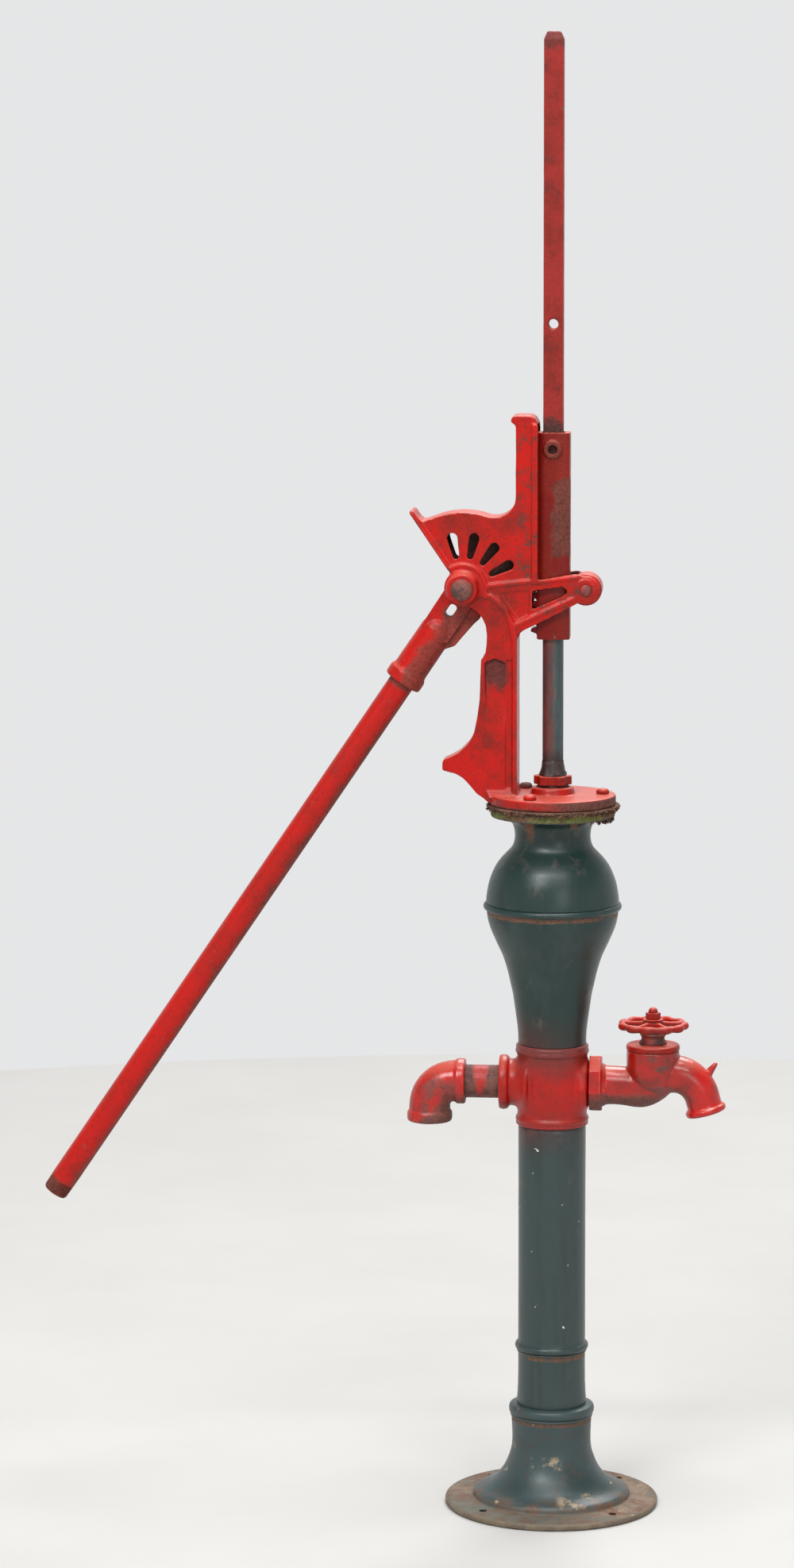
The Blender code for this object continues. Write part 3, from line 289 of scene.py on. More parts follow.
def green_enamel(name, rings=(), moss=None, drips=(), red_ends=(), teal=0.5, flecks=0.0):
    """Old green enamel on turned castings: rust lines under the rings, streaks and thin patches."""
    p = Paint(name)
    broad = p.noise(8, 4, 0.6, stretch=(1, 1, 0.5))
    mid = p.noise(46, 5, 0.65, stretch=(1, 1, 0.6))
    fine = p.noise(260, 4, 0.7)
    pepper = p.noise(700, 3, 0.6)
    streak = p.noise(60, 4, 0.6, stretch=(1, 1, 0.08), offset=2)
    colour = p.mix(p.step(p.add(broad, teal - 0.5), 0.40, 0.62), GREY_GREEN, TEAL)
    colour = p.mix(p.step(streak, 0.5, 0.72, 0.35), colour, DARK_GREEN)
    colour = p.mix(p.step(fine, 0.55, 0.75, 0.35), colour, DARK_GREEN)
    warm = p.step(p.add(mid, p.times(broad, 0.6)), 0.86, 1.02, 0.45)
    colour = p.mix(warm, colour, linear(92, 80, 74))
    edge = p.step(p.sway(p.point, fine, 0.04), 0.52, 0.62)
    colour = p.mix(p.times(edge, 0.3), colour, linear(104, 128, 128))
    rusty = None
    for low, high in rings:
        line = p.band(p.sway(p.z, mid, 0.006), low * MM, high * MM, 0.0018)
        line = p.times(line, 0.8)
        line = p.times(line, p.step(p.noise(20, 3, 0.6, offset=low), 0.36, 0.56))
        rusty = line if rusty is None else p.most(rusty, line)
    for x, top, length in drips:
        across = p.band(p.sway(p.x, fine, 0.006), (x - 3) * MM, (x + 3) * MM, 0.003)
        run = p.times(across, p.step(p.z, (top - length) * MM, (top - length * 0.3) * MM),
                p.step(p.y, 0.01, -0.01))
        rusty = run if rusty is None else p.most(rusty, run)
    pit = p.times(p.step(p.noise(190, 3, 0.6, offset=6), 0.68, 0.71),
            p.step(p.noise(12, 3, offset=4), 0.52, 0.66), 0.7)
    rusty = pit if rusty is None else p.most(rusty, p.times(pit, 0.8))
    colour = p.mix(p.times(rusty, 0.85), colour, p.mix(p.step(fine, 0.45, 0.6), ORANGE_RUST,
            linear(84, 60, 46)))
    for near, far in red_ends:
        side = p.step(p.x, 0.030, -0.045, 0.42)
        share = p.step(p.sway(p.z, broad, 0.05), far * MM, near * MM, p.add(side, 0.16))
        colour = p.mix(share, colour, DEEP_RED)
    roughness = p.add(p.sway(p.sway(0.34, broad, 0.25), fine, 0.15), p.times(rusty, 0.3))
    if flecks:
        fleck = p.step(p.noise(95, 2, 0.5, offset=8), 0.73, 0.745, flecks)
        colour = p.mix(fleck, colour, WHITE_FLECK)
    if moss:
        share, patch = moss(p, mid, fine)
        growth = p.mix(p.step(p.add(mid, p.times(fine, 0.4)), 0.60, 0.80), MOSS, MOSS_BROWN)
        growth = p.mix(p.step(p.noise(60, 3, offset=7), 0.55, 0.62), growth, linear(86, 98, 74))
        growth = p.mix(patch, growth, linear(112, 44, 40))
        colour = p.mix(share, colour, growth)
        roughness = p.blend(share, roughness, 0.95)
    height = p.add(p.times(mid, 0.8), p.times(fine, 0.4), p.times(pepper, 0.1), p.times(rusty, -0.2))
    return p.done(colour, roughness, height, 0.30, specular=0.42)


def rusty_iron(name, red=0.3, paint=None, dark=0.5):
    """Bare rusty iron with what is left of its red paint."""
    p = Paint(name)
    mid = p.noise(60, 5, 0.7)
    fine = p.noise(320, 5, 0.75)
    pepper = p.noise(900, 3, 0.6)
    colour = p.mix(p.step(mid, 0.42, 0.6), linear(112, 68, 60), DARK_RUST_AND_SHADE)
    colour = p.mix(p.step(fine, 0.5, 0.66, dark), colour, SOOT_AND_SHADE)
    colour = p.mix(p.step(pepper, 0.52, 0.68, 0.5), colour, ORANGE_RUST)
    share = p.step(p.add(p.noise(34, 4, 0.6, offset=3), p.times(fine, 0.3)), 0.62, 0.76, red)
    if paint:
        share = p.most(share, paint(p, mid, fine))
    colour = p.mix(share, colour, p.mix(p.step(fine, 0.45, 0.65), BRIGHT_RED, DULL_RED))
    edge = p.step(p.point, 0.53, 0.62, 0.35)
    colour = p.mix(edge, colour, linear(168, 116, 108))
    roughness = p.blend(share, p.add(0.58, p.times(fine, 0.3)), 0.4)
    height = p.add(p.times(mid, 0.8), p.times(fine, 0.7), p.times(pepper, 0.2))
    return p.done(colour, roughness, height, 0.5)


def bare_metal(name, colour_one, colour_two, rough):
    p = Paint(name)
    mid = p.noise(80, 4)
    fine = p.noise(500, 4, 0.7, stretch=(1, 1, 0.2))
    colour = p.mix(p.step(p.add(mid, p.times(fine, 0.4)), 0.55, 0.85), colour_one, colour_two)
    return p.done(colour, p.add(rough, p.times(fine, 0.25)), p.add(mid, fine), 0.25, metallic=0.8)


def fibre(name, one, two):
    p = Paint(name)
    strand = p.noise(420, 5, 0.75, stretch=(1, 1, 3))
    mid = p.noise(70, 4, 0.7)
    colour = p.mix(p.step(mid, 0.4, 0.62), one, two)
    colour = p.mix(p.step(strand, 0.48, 0.62, 0.6), colour, DARK_RUST_AND_SHADE)
    return p.done(colour, p.add(0.86, p.times(strand, 0.1)), p.add(strand, mid), 0.6)


def placed(name, data):
    """A new object in the scene that holds the data."""
    obj = bpy.data.objects.new(name, data)
    bpy.context.scene.collection.objects.link(obj)
    return obj


def from_bmesh(name, made):
    bmesh.ops.recalc_face_normals(made, faces=made.faces)
    mesh = bpy.data.meshes.new(name)
    made.to_mesh(mesh)
    made.free()
    return placed(name, mesh)


def curved(points, rounds=2):
    """Extra points on a smooth curve through the points, except at those marked sharp by a repeat."""
    points = [tuple(map(float, p)) for p in points]
    for _ in range(rounds):
        made = []
        for i, (a, b) in enumerate(zip(points, points[1:])):
            made.append(a)
            if a == b:
                continue
            before = points[i - 1] if i > 0 else a
            after = points[i + 2] if i + 2 < len(points) else b
            made.append(tuple((9 * (q + r) - (p + s)) / 16 for p, q, r, s in zip(before, a, b, after)))
        points = made + [points[-1]]
    return [p for i, p in enumerate(points) if i == 0 or p != points[i - 1]]


def quads(made, one, other):
    """A strip of four-sided faces between two rings of vertices."""
    for j in range(len(one)):
        k = (j + 1) % len(one)
        made.faces.new((one[j], one[k], other[k], other[j]))


def cap(made, ring, tip, turned_over=False):
    """A fan of triangles from a ring of vertices to one tip."""
    for j in range(len(ring)):
        k = (j + 1) % len(ring)
        made.faces.new((tip, ring[j], ring[k]) if turned_over else (ring[j], ring[k], tip))


def round_point(made, radius, angle, height):
    """A vertex at an angle about the vertical axis."""
    return made.verts.new((radius * math.cos(angle) * MM, radius * math.sin(angle) * MM, height * MM))


def swept(name, stations, steps=64):
    """Circles of each station's radius round a path in the XZ plane, capped where a radius is 0."""
    made = bmesh.new()
    rings = []
    for x, z, heading, radius in stations:
        a = math.radians(heading)
        side = Vector((math.sin(a), 0, -math.cos(a)))
        centre = Vector((x, 0, z))
        if radius < 1e-6:
            rings.append([made.verts.new(centre * MM)])
            continue
        ring = []
        for j in range(steps):
            b = math.tau * j / steps
            at = centre + side * (radius * math.cos(b)) + Vector((0, radius * math.sin(b), 0))
            ring.append(made.verts.new(at * MM))
        rings.append(ring)
    closed = len(rings[0]) > 1 and len(rings[-1]) > 1
    pairs = list(zip(rings, rings[1:])) + ([(rings[-1], rings[0])] if closed else [])
    for one, other in pairs:
        if len(one) > 1 and len(other) > 1:
            quads(made, one, other)
        elif len(one) > 1:
            cap(made, one, other[0])
        elif len(other) > 1:
            cap(made, other, one[0], turned_over=True)
    return from_bmesh(name, made)


def turned(name, profile, steps=128, centre=(0, 0)):
    """A body turned about a vertical axis, from (radius, height) points in order round the section."""
    obj = swept(name, [(0, height, 90, radius) for radius, height in profile], steps)
    obj.data.transform(Matrix.Translation((centre[0] * MM, centre[1] * MM, 0)))
    return obj


def plug(name, radius, low, high, steps, centre=(0, 0)):
    """A plain upright cylinder between two heights."""
    return turned(name, [(0, low), (radius, low), (radius, high), (0, high)], steps, centre)


def across(name, profile, centre, steps=64):
    """A body turned about an axis along Y through centre (x, z), from (radius, y) points."""
    obj = swept(name, [(0, height, 90, radius) for radius, height in profile], steps)
    obj.data.transform(Matrix.Rotation(-math.pi / 2, 4, "X"))
    obj.data.transform(Matrix.Translation((centre[0] * MM, 0, centre[1] * MM)))
    return obj


def boolean(target, operation, *tools):
    for tool in tools:
        modifier = target.modifiers.new("b", "BOOLEAN")
        modifier.operation = operation
        modifier.solver = "EXACT"
        modifier.object = tool
    apply(target)
    for tool in tools:
        bpy.data.objects.remove(tool)
    return target


def apply(obj):
    """Replaces the object's mesh by what its modifiers make of it."""
    graph = bpy.context.evaluated_depsgraph_get()
    mesh = bpy.data.meshes.new_from_object(obj.evaluated_get(graph))
    obj.modifiers.clear()
    obj.data = mesh
    return obj


def soften(obj, voxel, rounds=4, dent=0.0, size=0.03):
    """Remeshes a solid to small even faces, rounds its edges, and dents it inwards like a rough casting."""
    remesh = obj.modifiers.new("r", "REMESH")
    remesh.mode = "VOXEL"
    remesh.voxel_size = voxel * MM
    smooth = obj.modifiers.new("s", "SMOOTH")
    smooth.iterations = rounds
    smooth.factor = 0.5
    if dent:
        texture = bpy.data.textures.new("clouds", "CLOUDS")
        texture.noise_scale = size
        texture.noise_depth = 3
        displace = obj.modifiers.new("d", "DISPLACE")
        displace.texture = texture
        displace.mid_level = 0.75
        displace.strength = dent * MM
        displace.texture_coords = "LOCAL"
    return apply(obj)


def ready(obj, body, material, slot, *nodes, smooth=True):
    """Gives a finished piece its material, body and the CAD nodes that it stands for; its slot is not used.
    """
    obj.data.materials.clear()
    obj.data.materials.append(material)
    for polygon in obj.data.polygons:
        polygon.material_index = 0
        polygon.use_smooth = smooth
    if smooth:
        obj.data.set_sharp_from_angle(angle=math.radians(48))
    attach(obj, body)
    if nodes:
        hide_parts(*nodes)
    return obj


def copied(node, name):
    return placed(name, NODES[node].data.copy())


def recast(node, name, body, material, slot, *softness):
    """A softened copy of one CAD node, ready to stand for it."""
    return ready(soften(copied(node, name), *softness), body, material, slot, node)


def bead(low, high, inner, outer):
    """Half-round bead between two heights, as section points."""
    middle = (low + high) / 2
    reach = (high - low) / 2
    made = []
    for i in range(9):
        a = math.pi * i / 8
        made.append((inner + (outer - inner) * math.sin(a), middle - reach * math.cos(a)))
    return made


def level(heading, *points):
    """Stations along the outlet's axis, from (x, radius) pairs."""
    return [(x, OUTLET, heading, radius) for x, radius in points]


def turn_flats(obj):
    """Turns an eight-sided piece about the outlet's axis, to the angle at which its flats sit."""
    there = Matrix.Translation((0, 0, OUTLET * MM))
    back = Matrix.Translation((0, 0, -OUTLET * MM))
    obj.data.transform(there @ Matrix.Rotation(FLATS_TURN, 4, "X") @ back)
    return obj


def tilt(points):
    """Stations along the lever's arm, from (distance from the pivot, radius) pairs."""
    made = []
    for distance, radius in points:
        at = PIVOT + ALONG_ARM * distance + ARM_UP * ARM_OFFSET
        made.append((at.x, at.z, math.degrees(ARM_HEADING), radius))
    return made


# ---------------------------------------------------------------- materials

def from_pivot(p, direction):
    """Distance from the lever's pivot, measured along a direction."""
    return p.add(p.dot(p.place, direction), -direction.dot(PIVOT) * MM)


def cap_rim(p, mid, fine):
    broad = p.noise(16, 3, 0.5, offset=4)
    side = p.step(p.sway(p.x, broad, 0.12), -0.030, 0.030)
    rim = p.step(p.z, 0.9228, 0.9212, side)
    foot = p.times(p.step(p.z, 0.9150, 0.9115), p.step(broad, 0.40, 0.55), 0.8)
    return p.most(rim, foot)


def stand_wear(p, mid, fine):
    ridge = p.times(p.band(p.x, -0.046, -0.016, 0.004), p.band(p.z, 1.19, 1.385, 0.01))
    arms = p.step(p.x, -0.036, -0.030, p.band(p.z, 1.125, 1.21, 0.004))
    speckle = p.times(p.most(ridge, arms), p.step(p.add(p.times(mid, 0.5), fine), 0.80, 0.90), 0.9)
    return p.most(cap_rim(p, mid, fine), speckle)


# Painted shade on the inward faces between the cheeks.
def inner_faces(p, mid, fine):
    between = p.step(p.size(p.y), 0.0243, 0.0228)
    inward = p.step(p.times(p.ny, p.y, -45), 0.35, 0.8)
    return p.times(between, inward, p.step(p.z, 1.09, 1.11), 0.92)


# Painted shade for the stand: its post recess and the faces between the cheeks.
def stand_inner_shade(p, mid, fine):
    return p.most(recess(p, mid, fine), inner_faces(p, mid, fine))


# Painted shade: the lever's sector and teeth behind the pivot, inside the housing, darkened.
def lever_sector_shade(p, mid, fine):
    along = from_pivot(p, ALONG_ARM)
    return p.step(p.sway(along, mid, 0.01), 0.006, -0.010, 0.94)


# Painted shade in the recess at the top of the post's front.
def recess(p, mid, fine):
    high = p.band(p.sway(p.z, mid, 0.03), 1.070, 1.0975, 0.012)
    inside = p.band(p.x, -0.089, -0.056, 0.003)
    return p.times(high, inside, p.step(p.y, -0.0265, -0.0235), 0.75)


def lever_wear(p, mid, fine):
    offset = from_pivot(p, ARM_UNDER)
    along = from_pivot(p, ALONG_ARM)
    half = p.step(p.sway(offset, mid, 0.045), -0.006, 0.006)
    return p.times(half, p.step(along, 0.012, 0.03), 0.95)


# Painted shade: the gland nut's foot, just above the cap, darkened.
def gland_nut_foot_shade(p, mid, fine):
    return p.step(p.z, 0.9375, 0.9345, 0.9)


def pipe_wear(p, mid, fine):
    low = p.step(p.sway(p.dot(p.normal, ARM_UNDER), mid, 0.9), 0.45, 0.95)
    along = from_pivot(p, ALONG_ARM)
    end = p.step(p.sway(along, mid, 0.02), 0.932, 0.942, 0.9)
    top = p.step(along, 0.158, 0.150, 0.8)
    return p.most(p.times(low, 0.75), end, top)


def slide_wear(p, mid, fine):
    x = p.sway(p.x, mid, 0.030)
    z = p.sway(p.z, mid, 0.05)
    patch = p.times(p.step(x, -0.002, 0.004), p.band(z, 1.232, 1.322, 0.006), p.step(p.y, 0.002, -0.002))
    low = p.times(p.step(x, -0.004, 0.004), p.band(z, 1.19, 1.235, 0.01), 0.45, p.step(mid, 0.45, 0.6))
    dz = p.add(p.z, -1.366)
    away = p.length(p.x, dz)
    boss = p.times(p.step(away, 0.0135, 0.0115), p.step(p.size(p.y), 0.018, 0.0195), 0.6)
    return p.most(p.times(patch, 0.9), low, boss)


def bar_grime(p, mid, fine):
    z = p.add(p.sway(p.z, mid, 0.05), p.times(p.size(p.x), 0.5))
    top = p.step(p.sway(p.z, mid, 0.03), 1.868, 1.880, 0.6)
    return p.most(p.step(z, 1.412, 1.400, 0.9), p.step(mid, 0.62, 0.7, 0.3), top)


def cross_spray(p, broad, mid):
    up = p.step(p.sway(p.z, broad, 0.05), 0.552, 0.592)
    down = p.step(p.sway(p.z, broad, 0.05), 0.528, 0.494)
    core = p.step(p.size(p.x), 0.052, 0.043)
    share = p.times(p.most(p.times(up, 0.66), p.times(down, 0.46)), core)
    low = p.times(p.step(p.sway(p.z, mid, 0.02), 0.532, 0.520), p.step(p.size(p.x), 0.044, 0.052), 0.6)
    return p.most(share, low), p.mix(p.step(p.z, 0.588, 0.6), linear(82, 46, 42), linear(70, 58, 56))


def flange_moss(p, mid, fine):
    top = p.step(p.sway(p.z, mid, 0.006), 0.8915, 0.8945)
    patch = p.step(p.noise(30, 3, offset=12), 0.58, 0.66, 0.6)
    return top, patch


def nipple_paint(p, mid, fine):
    narrow = p.step(p.z, 0.570, 0.530, 0.006)
    x = p.size(p.sway(p.add(p.x, 0.0915), mid, 0.008))
    return p.times(p.step(p.add(x, narrow), 0.0125, 0.0065), p.step(p.z, 0.528, 0.540), 0.9)


def elbow_wear(p, mid, fine):
    patch = p.times(p.band(p.x, -0.160, -0.126, 0.012), p.band(p.z, 0.512, 0.548, 0.012))
    patch = p.times(patch, p.step(p.add(mid, p.times(fine, 0.4)), 0.60, 0.72), 0.7)
    slope = p.sway(p.add(p.times(p.x, 0.55), p.times(p.z, -1)), mid, 0.03)
    return p.most(patch, p.step(slope, -0.602, -0.590, 0.95))


def faucet_wear(p, mid, fine):
    low = p.step(p.sway(p.z, mid, 0.026), 0.543, 0.530)
    inlet = p.step(p.x, 0.160, 0.145)
    mark = p.times(p.band(p.x, 0.124, 0.150, 0.008), p.band(p.z, 0.566, 0.586, 0.006), p.step(mid, 0.52, 0.6),
            0.8)
    return p.most(p.times(low, inlet), mark)


paint_stand = red_enamel("red_enamel_stand", stand_wear, stand_inner_shade, rust=0.35, chips=0.35, under=0.6)
paint_red = red_enamel("red_enamel", rust=0.45, chips=0.4, under=0.8)
paint_lever = red_enamel("red_enamel_lever", lever_wear, lever_sector_shade, rust=0.7, chips=0.6, under=0.8,
        marks=0.66)
paint_pipe = red_enamel("red_enamel_pipe", pipe_wear, rust=0.25, chips=0.35, under=0.3, dull=0.15, gloss=0.34,
        sheen=0.28)
# The slide's darker red is painted shade, where it sits back behind the cheeks.
paint_slide = red_enamel("red_enamel_slide", slide_wear, rust=0.4, chips=1.0, dull=0.9, sheen=0.2, marks=0.74,
        bright=linear(108, 16, 11))
paint_bar = red_enamel("red_enamel_bar", None, bar_grime, rust=0.6, chips=1.0, dull=0.75,
        bright=linear(140, 30, 24), gloss=0.5)
paint_cross = red_enamel("red_over_green", rust=0.2, chips=0.25, under=0.3, dull=0.2, sheen=0.36,
        overspray=cross_spray)
paint_elbow = red_enamel("red_enamel_elbow", elbow_wear, rust=0.5, under=0.95, gloss=0.22, sheen=0.55)
paint_faucet = red_enamel("red_enamel_faucet", faucet_wear, rust=0.25, under=0.9, chips=0.25, gloss=0.19,
        sheen=0.55)
paint_chamber = green_enamel("green_enamel_chamber", [(769, 773)], flange_moss,
        [(-26, 893, 34), (-30, 893, 20), (30, 893, 12)], [(598, 655)], teal=0.62)
paint_column = green_enamel("green_enamel_column", [(194.5, 199.5)], red_ends=[(505, 448)], flecks=1.0,
        teal=0.42)
paint_rust = rusty_iron("rusty_iron", red=0.35)
paint_pin = rusty_iron("rusty_iron_pin", red=0.45, dark=0.3)
paint_nipple = rusty_iron("rusty_nipple", red=0.1, paint=nipple_paint)
paint_stem = rusty_iron("rusty_stem", red=0.5, dark=0.4)
paint_disc = bare_metal("bare_steel", linear(150, 146, 138), linear(96, 90, 84), 0.35)
paint_packing = fibre("packing_fibre", linear(70, 60, 48), SOOT_AND_SHADE)
paint_gasket = fibre("gasket_fibre", linear(106, 72, 54), linear(78, 54, 42))


def front_patch(p, across, up, ragged):
    """A patch on the front, from its (low, high, soft) bands in X and Z."""
    return p.times(p.band(p.x, *across), p.band(p.z, *up), p.step(p.y, 0, -0.01), ragged)


def base_material():
    """Green enamel above, bare rust below, with tan chips and painted shade in each bolt hole."""
    p = Paint("base_enamel")
    broad = p.noise(11, 4, 0.6)
    mid = p.noise(44, 5, 0.65)
    fine = p.noise(250, 4, 0.7)
    pepper = p.noise(650, 3, 0.6)
    radius = p.length(p.x, p.y)
    green = p.mix(p.step(broad, 0.42, 0.6), linear(50, 66, 67), linear(36, 53, 53))
    green = p.mix(p.step(mid, 0.50, 0.64, 0.55), green, linear(66, 62, 57))
    brown = p.mix(p.step(p.add(mid, p.times(fine, 0.3)), 0.55, 0.78), linear(120, 103, 86),
            linear(86, 70, 58))
    brown = p.mix(p.step(pepper, 0.5, 0.66, 0.5), brown, linear(138, 106, 76))
    brown = p.mix(p.step(p.noise(24, 3, offset=4), 0.52, 0.6, 0.5), brown, linear(74, 80, 74))
    outer = p.step(p.sway(radius, mid, 0.018), 0.094, 0.106)
    outer = p.times(outer, p.step(p.z, 0.022, 0.014))
    line = p.times(p.band(p.sway(p.z, mid, 0.005), 0.1105, 0.1145, 0.002), 0.75)
    foot = p.times(p.step(p.sway(p.z, mid, 0.02), 0.030, 0.018), p.step(mid, 0.42, 0.58), 0.6)
    colour = p.mix(outer, green, brown)
    front = p.times(outer, p.step(p.sway(p.add(p.times(p.x, 0.5), p.y), broad, 0.2), -0.02, -0.12), 0.6)
    colour = p.mix(front, colour, linear(74, 82, 76))
    colour = p.mix(p.times(p.most(line, foot), 0.75), colour,
            p.mix(p.step(fine, 0.45, 0.6), ORANGE_RUST, linear(84, 60, 46)))
    edge = p.step(radius, 0.1345, 0.1362, 0.65)
    colour = p.mix(edge, colour, p.mix(p.step(mid, 0.4, 0.6), linear(106, 88, 74), linear(128, 118, 96)))
    chip = p.times(p.step(p.noise(70, 4, 0.65, offset=2), 0.66, 0.69),
            p.step(p.noise(9, 2, offset=1), 0.52, 0.6))
    colour = p.mix(chip, colour, TAN)
    ragged = p.step(p.add(mid, p.times(fine, 0.3)), 0.63, 0.74)
    scar = front_patch(p, (-0.020, 0.012, 0.006), (0.058, 0.068, 0.006), ragged)
    ragged = p.step(p.add(mid, p.times(fine, 0.3)), 0.64, 0.78)
    stain = front_patch(p, (0.018, 0.050, 0.01), (0.014, 0.026, 0.005), ragged)
    colour = p.mix(p.times(p.most(scar, stain), 0.8), colour, linear(156, 140, 112))
    dx = p.add(p.size(p.x), -BOLT_OFFSET)
    dy = p.add(p.size(p.y), -BOLT_OFFSET)
    gap = p.length(dx, dy)
    colour = p.mix(p.times(p.step(gap, 0.012, 0.006), 0.45, p.step(p.x, -0.01, 0.01)), colour, ORANGE_RUST)
    # Painted shade inside each bolt hole.
    colour = p.mix(p.times(p.step(gap, 0.0058, 0.0052), p.step(p.z, 0.0091, 0.0085)), colour, SOOT_AND_SHADE)
    roughness = p.blend(p.most(outer, chip, line), p.add(0.30, p.times(mid, 0.2)), 0.78)
    height = p.add(p.times(mid, 0.9), p.times(fine, 0.5), p.times(pepper, 0.15), p.times(chip, -0.3))
    return p.done(colour, roughness, height, 0.45)


def rod_material():
    """Pump rod: red on its left, green on its right, sooty at the gland."""
    p = Paint("rod_enamel")
    mid = p.noise(40, 5, 0.65, stretch=(1, 1, 0.25))
    fine = p.noise(260, 4, 0.7, stretch=(1, 1, 0.4))
    side = p.step(p.sway(p.x, mid, 0.018), -0.002, 0.003)
    green = p.mix(p.step(mid, 0.42, 0.6), linear(48, 62, 62), linear(62, 78, 78))
    red = p.mix(p.step(mid, 0.42, 0.6), linear(92, 46, 42), linear(62, 44, 42))
    colour = p.mix(side, red, green)
    colour = p.mix(p.step(fine, 0.5, 0.66, 0.5), colour, linear(52, 36, 34))
    streak = p.times(p.step(p.noise(90, 3, stretch=(1, 1, 0.1), offset=5), 0.57, 0.64),
            p.step(p.z, 1.0, 1.06), 0.6)
    colour = p.mix(streak, colour, linear(150, 40, 36))
    sooty = p.step(p.sway(p.z, mid, 0.03), 0.985, 0.962)
    colour = p.mix(sooty, colour, SOOT_AND_SHADE)
    roughness = p.blend(sooty, p.add(0.36, p.times(fine, 0.2)), 0.6)
    return p.done(colour, roughness, p.add(p.times(mid, 0.6), fine), 0.35)


paint_base = base_material()
paint_rod = rod_material()


# ---------------------------------------------------------------- stand

def base_flange():
    outside = [(21.4, 0), (21.4, 0), (133.5, 0), (133.5, 0), (136.2, 1.2), (137, 4), (136.6, 7.2),
            (134.5, 8.8), (131, 9.1), (131, 9.1)]
    outside += [(118, 9.6), (104, 10.6), (101.2, 11.6), (100.6, 14), (99.4, 17.2), (95, 20), (86, 23.2),
            (78, 28), (70.5, 34.6)]
    outside += [(64, 42.5), (59, 51), (55.2, 60), (52.6, 68), (51, 76), (50.5, 86), (50.9, 100), (51.6, 113),
            (51.6, 113)]
    section = curved(outside, 1)
    section += bead(114.5, 118.5, 52.0, 53.0) + bead(118.5, 129.5, 52.6, 54.9)
    section += [(50, 130.4), (47.5, 131), (38.6, 131), (38.6, 104), (43, 100), (44, 70), (56, 42), (80, 12),
            (30, 12), (30, 30), (21.4, 30)]
    body = turned("base_casting", section, 160)
    holes = []
    for quarter in range(4):
        a = math.radians(45 + 90 * quarter)
        at = (BOLT_CIRCLE_RADIUS * math.cos(a), BOLT_CIRCLE_RADIUS * math.sin(a))
        holes.append(plug("hole", BOLT_HOLE_RADIUS, -5, 30, 40, at))
    boolean(body, "DIFFERENCE", *holes)
    return ready(body, "stand", paint_base, "base_paint", "base_flange")


def column():
    section = [(33, 108), (38.2, 108), (38.2, 131.3), (44.2, 131.3), (44.6, 133), (44.5, 138)]
    section += curved([(44.0, 144), (43.5, 155), (43.1, 175), (43.1, 198.5)], 2)
    section += bead(199.0, 202.0, 43.2, 45.0) + bead(202.0, 211.0, 43.8, 47.2)
    section += [(43.2, 212.5), (43.1, 300), (43.2, 420), (43.4, 494), (42.8, 494.7), (36, 494.7), (36, 142),
            (33, 136)]
    fine = []
    for one, other in zip(section, section[1:]):
        steps = max(1, int(abs(other[1] - one[1]) / 6))
        fine += [tuple(a + (b - a) * i / steps for a, b in zip(one, other)) for i in range(steps)]
    body = turned("column_pipe", fine + [section[-1]], 128)
    return ready(body, "stand", paint_column, "green_paint", "column")


def air_chamber():
    section = [(31, 581), (35.6, 581), (35.6, 600.3), (43.2, 600.3)]
    section += curved([(43.7, 601), (43.9, 612), (45.0, 624), (46.6, 636), (49.0, 653), (50.8, 665),
            (53.6, 677), (56.5, 690), (59.8, 702), (64.2, 715), (69.8, 727), (75.2, 739), (80.2, 751),
            (83.2, 762), (84.4, 771), (84.9, 773.6)], 2)
    section += bead(773.8, 782.4, 84.9, 88.8)
    section += curved([(85.4, 783), (85.0, 789), (83.6, 799), (81.2, 810), (77.6, 820), (72.8, 830),
            (66.4, 839), (59.0, 847), (53.0, 853.4), (49.8, 860), (48.5, 868), (49.0, 876), (50.6, 882),
            (53.2, 886.5), (58.5, 890.4), (66, 892.8), (74, 894), (77.4, 895.2), (78.5, 898), (78.5, 904),
            (77.6, 906.4)], 2)
    section += [(76.5, 906.7), (40.5, 906.7), (40.5, 866), (63, 829), (76, 785), (57, 722), (40.5, 650),
            (31, 604)]
    body = turned("chamber_casting", section, 144)
    return ready(body, "stand", paint_chamber, "green_paint", "air_chamber")


def cross_fitting():
    section = [(31, 476), (35.6, 476), (35.6, 495), (44.4, 495)]
    section += bead(495.6, 499.4, 44.9, 46.9) + bead(499.6, 506.6, 44.8, 47.3)
    section += curved([(44.6, 507.4), (44.2, 512), (44.2, 548), (44.2, 583), (44.8, 587)], 2)
    section += bead(587.2, 594.0, 44.8, 47.6) + bead(594.2, 599.0, 44.9, 46.9)
    section += [(44.6, 600), (36, 600), (36, 578), (37, 572), (37, 504), (31, 494)]
    body = turned("cross_casting", section, 112)
    left = curved(level(180, (-30, 0), (-30, 0), (-30, 42), (-36, 38.5), (-40, 34.5), (-44, 31.6),
            (-49, 30.2), (-54.5, 30.0), (-55.4, 31.5), (-57, 34.0), (-60, 35.0), (-64, 35.0), (-67, 33.8),
            (-67.8, 31.5), (-67.8, 0), (-67.8, 0)), 1)
    right = level(0, (34, 0), (34, 38), (38, 36), (43, 34.6), (47.4, 34.2), (47.9, 33.4), (47.9, 0))
    boolean(body, "UNION", swept("left", left, 72), turn_flats(swept("spigot", right, 8)))
    bore = swept("bore", level(0, (-75, 0), (-75, 21.4), (55, 21.4), (55, 0)), 64)
    inner = turned("inner", [(0, 470), (31, 470), (31, 494), (37, 504), (37, 572), (36, 578), (36, 620),
            (0, 620)], 96)
    boolean(body, "DIFFERENCE", bore, inner)
    soften(body, 1.25, 3, 0.25, 0.02)
    blend_joins(body)
    return ready(body, "stand", paint_cross, "red_over_green_paint", "cross_fitting")


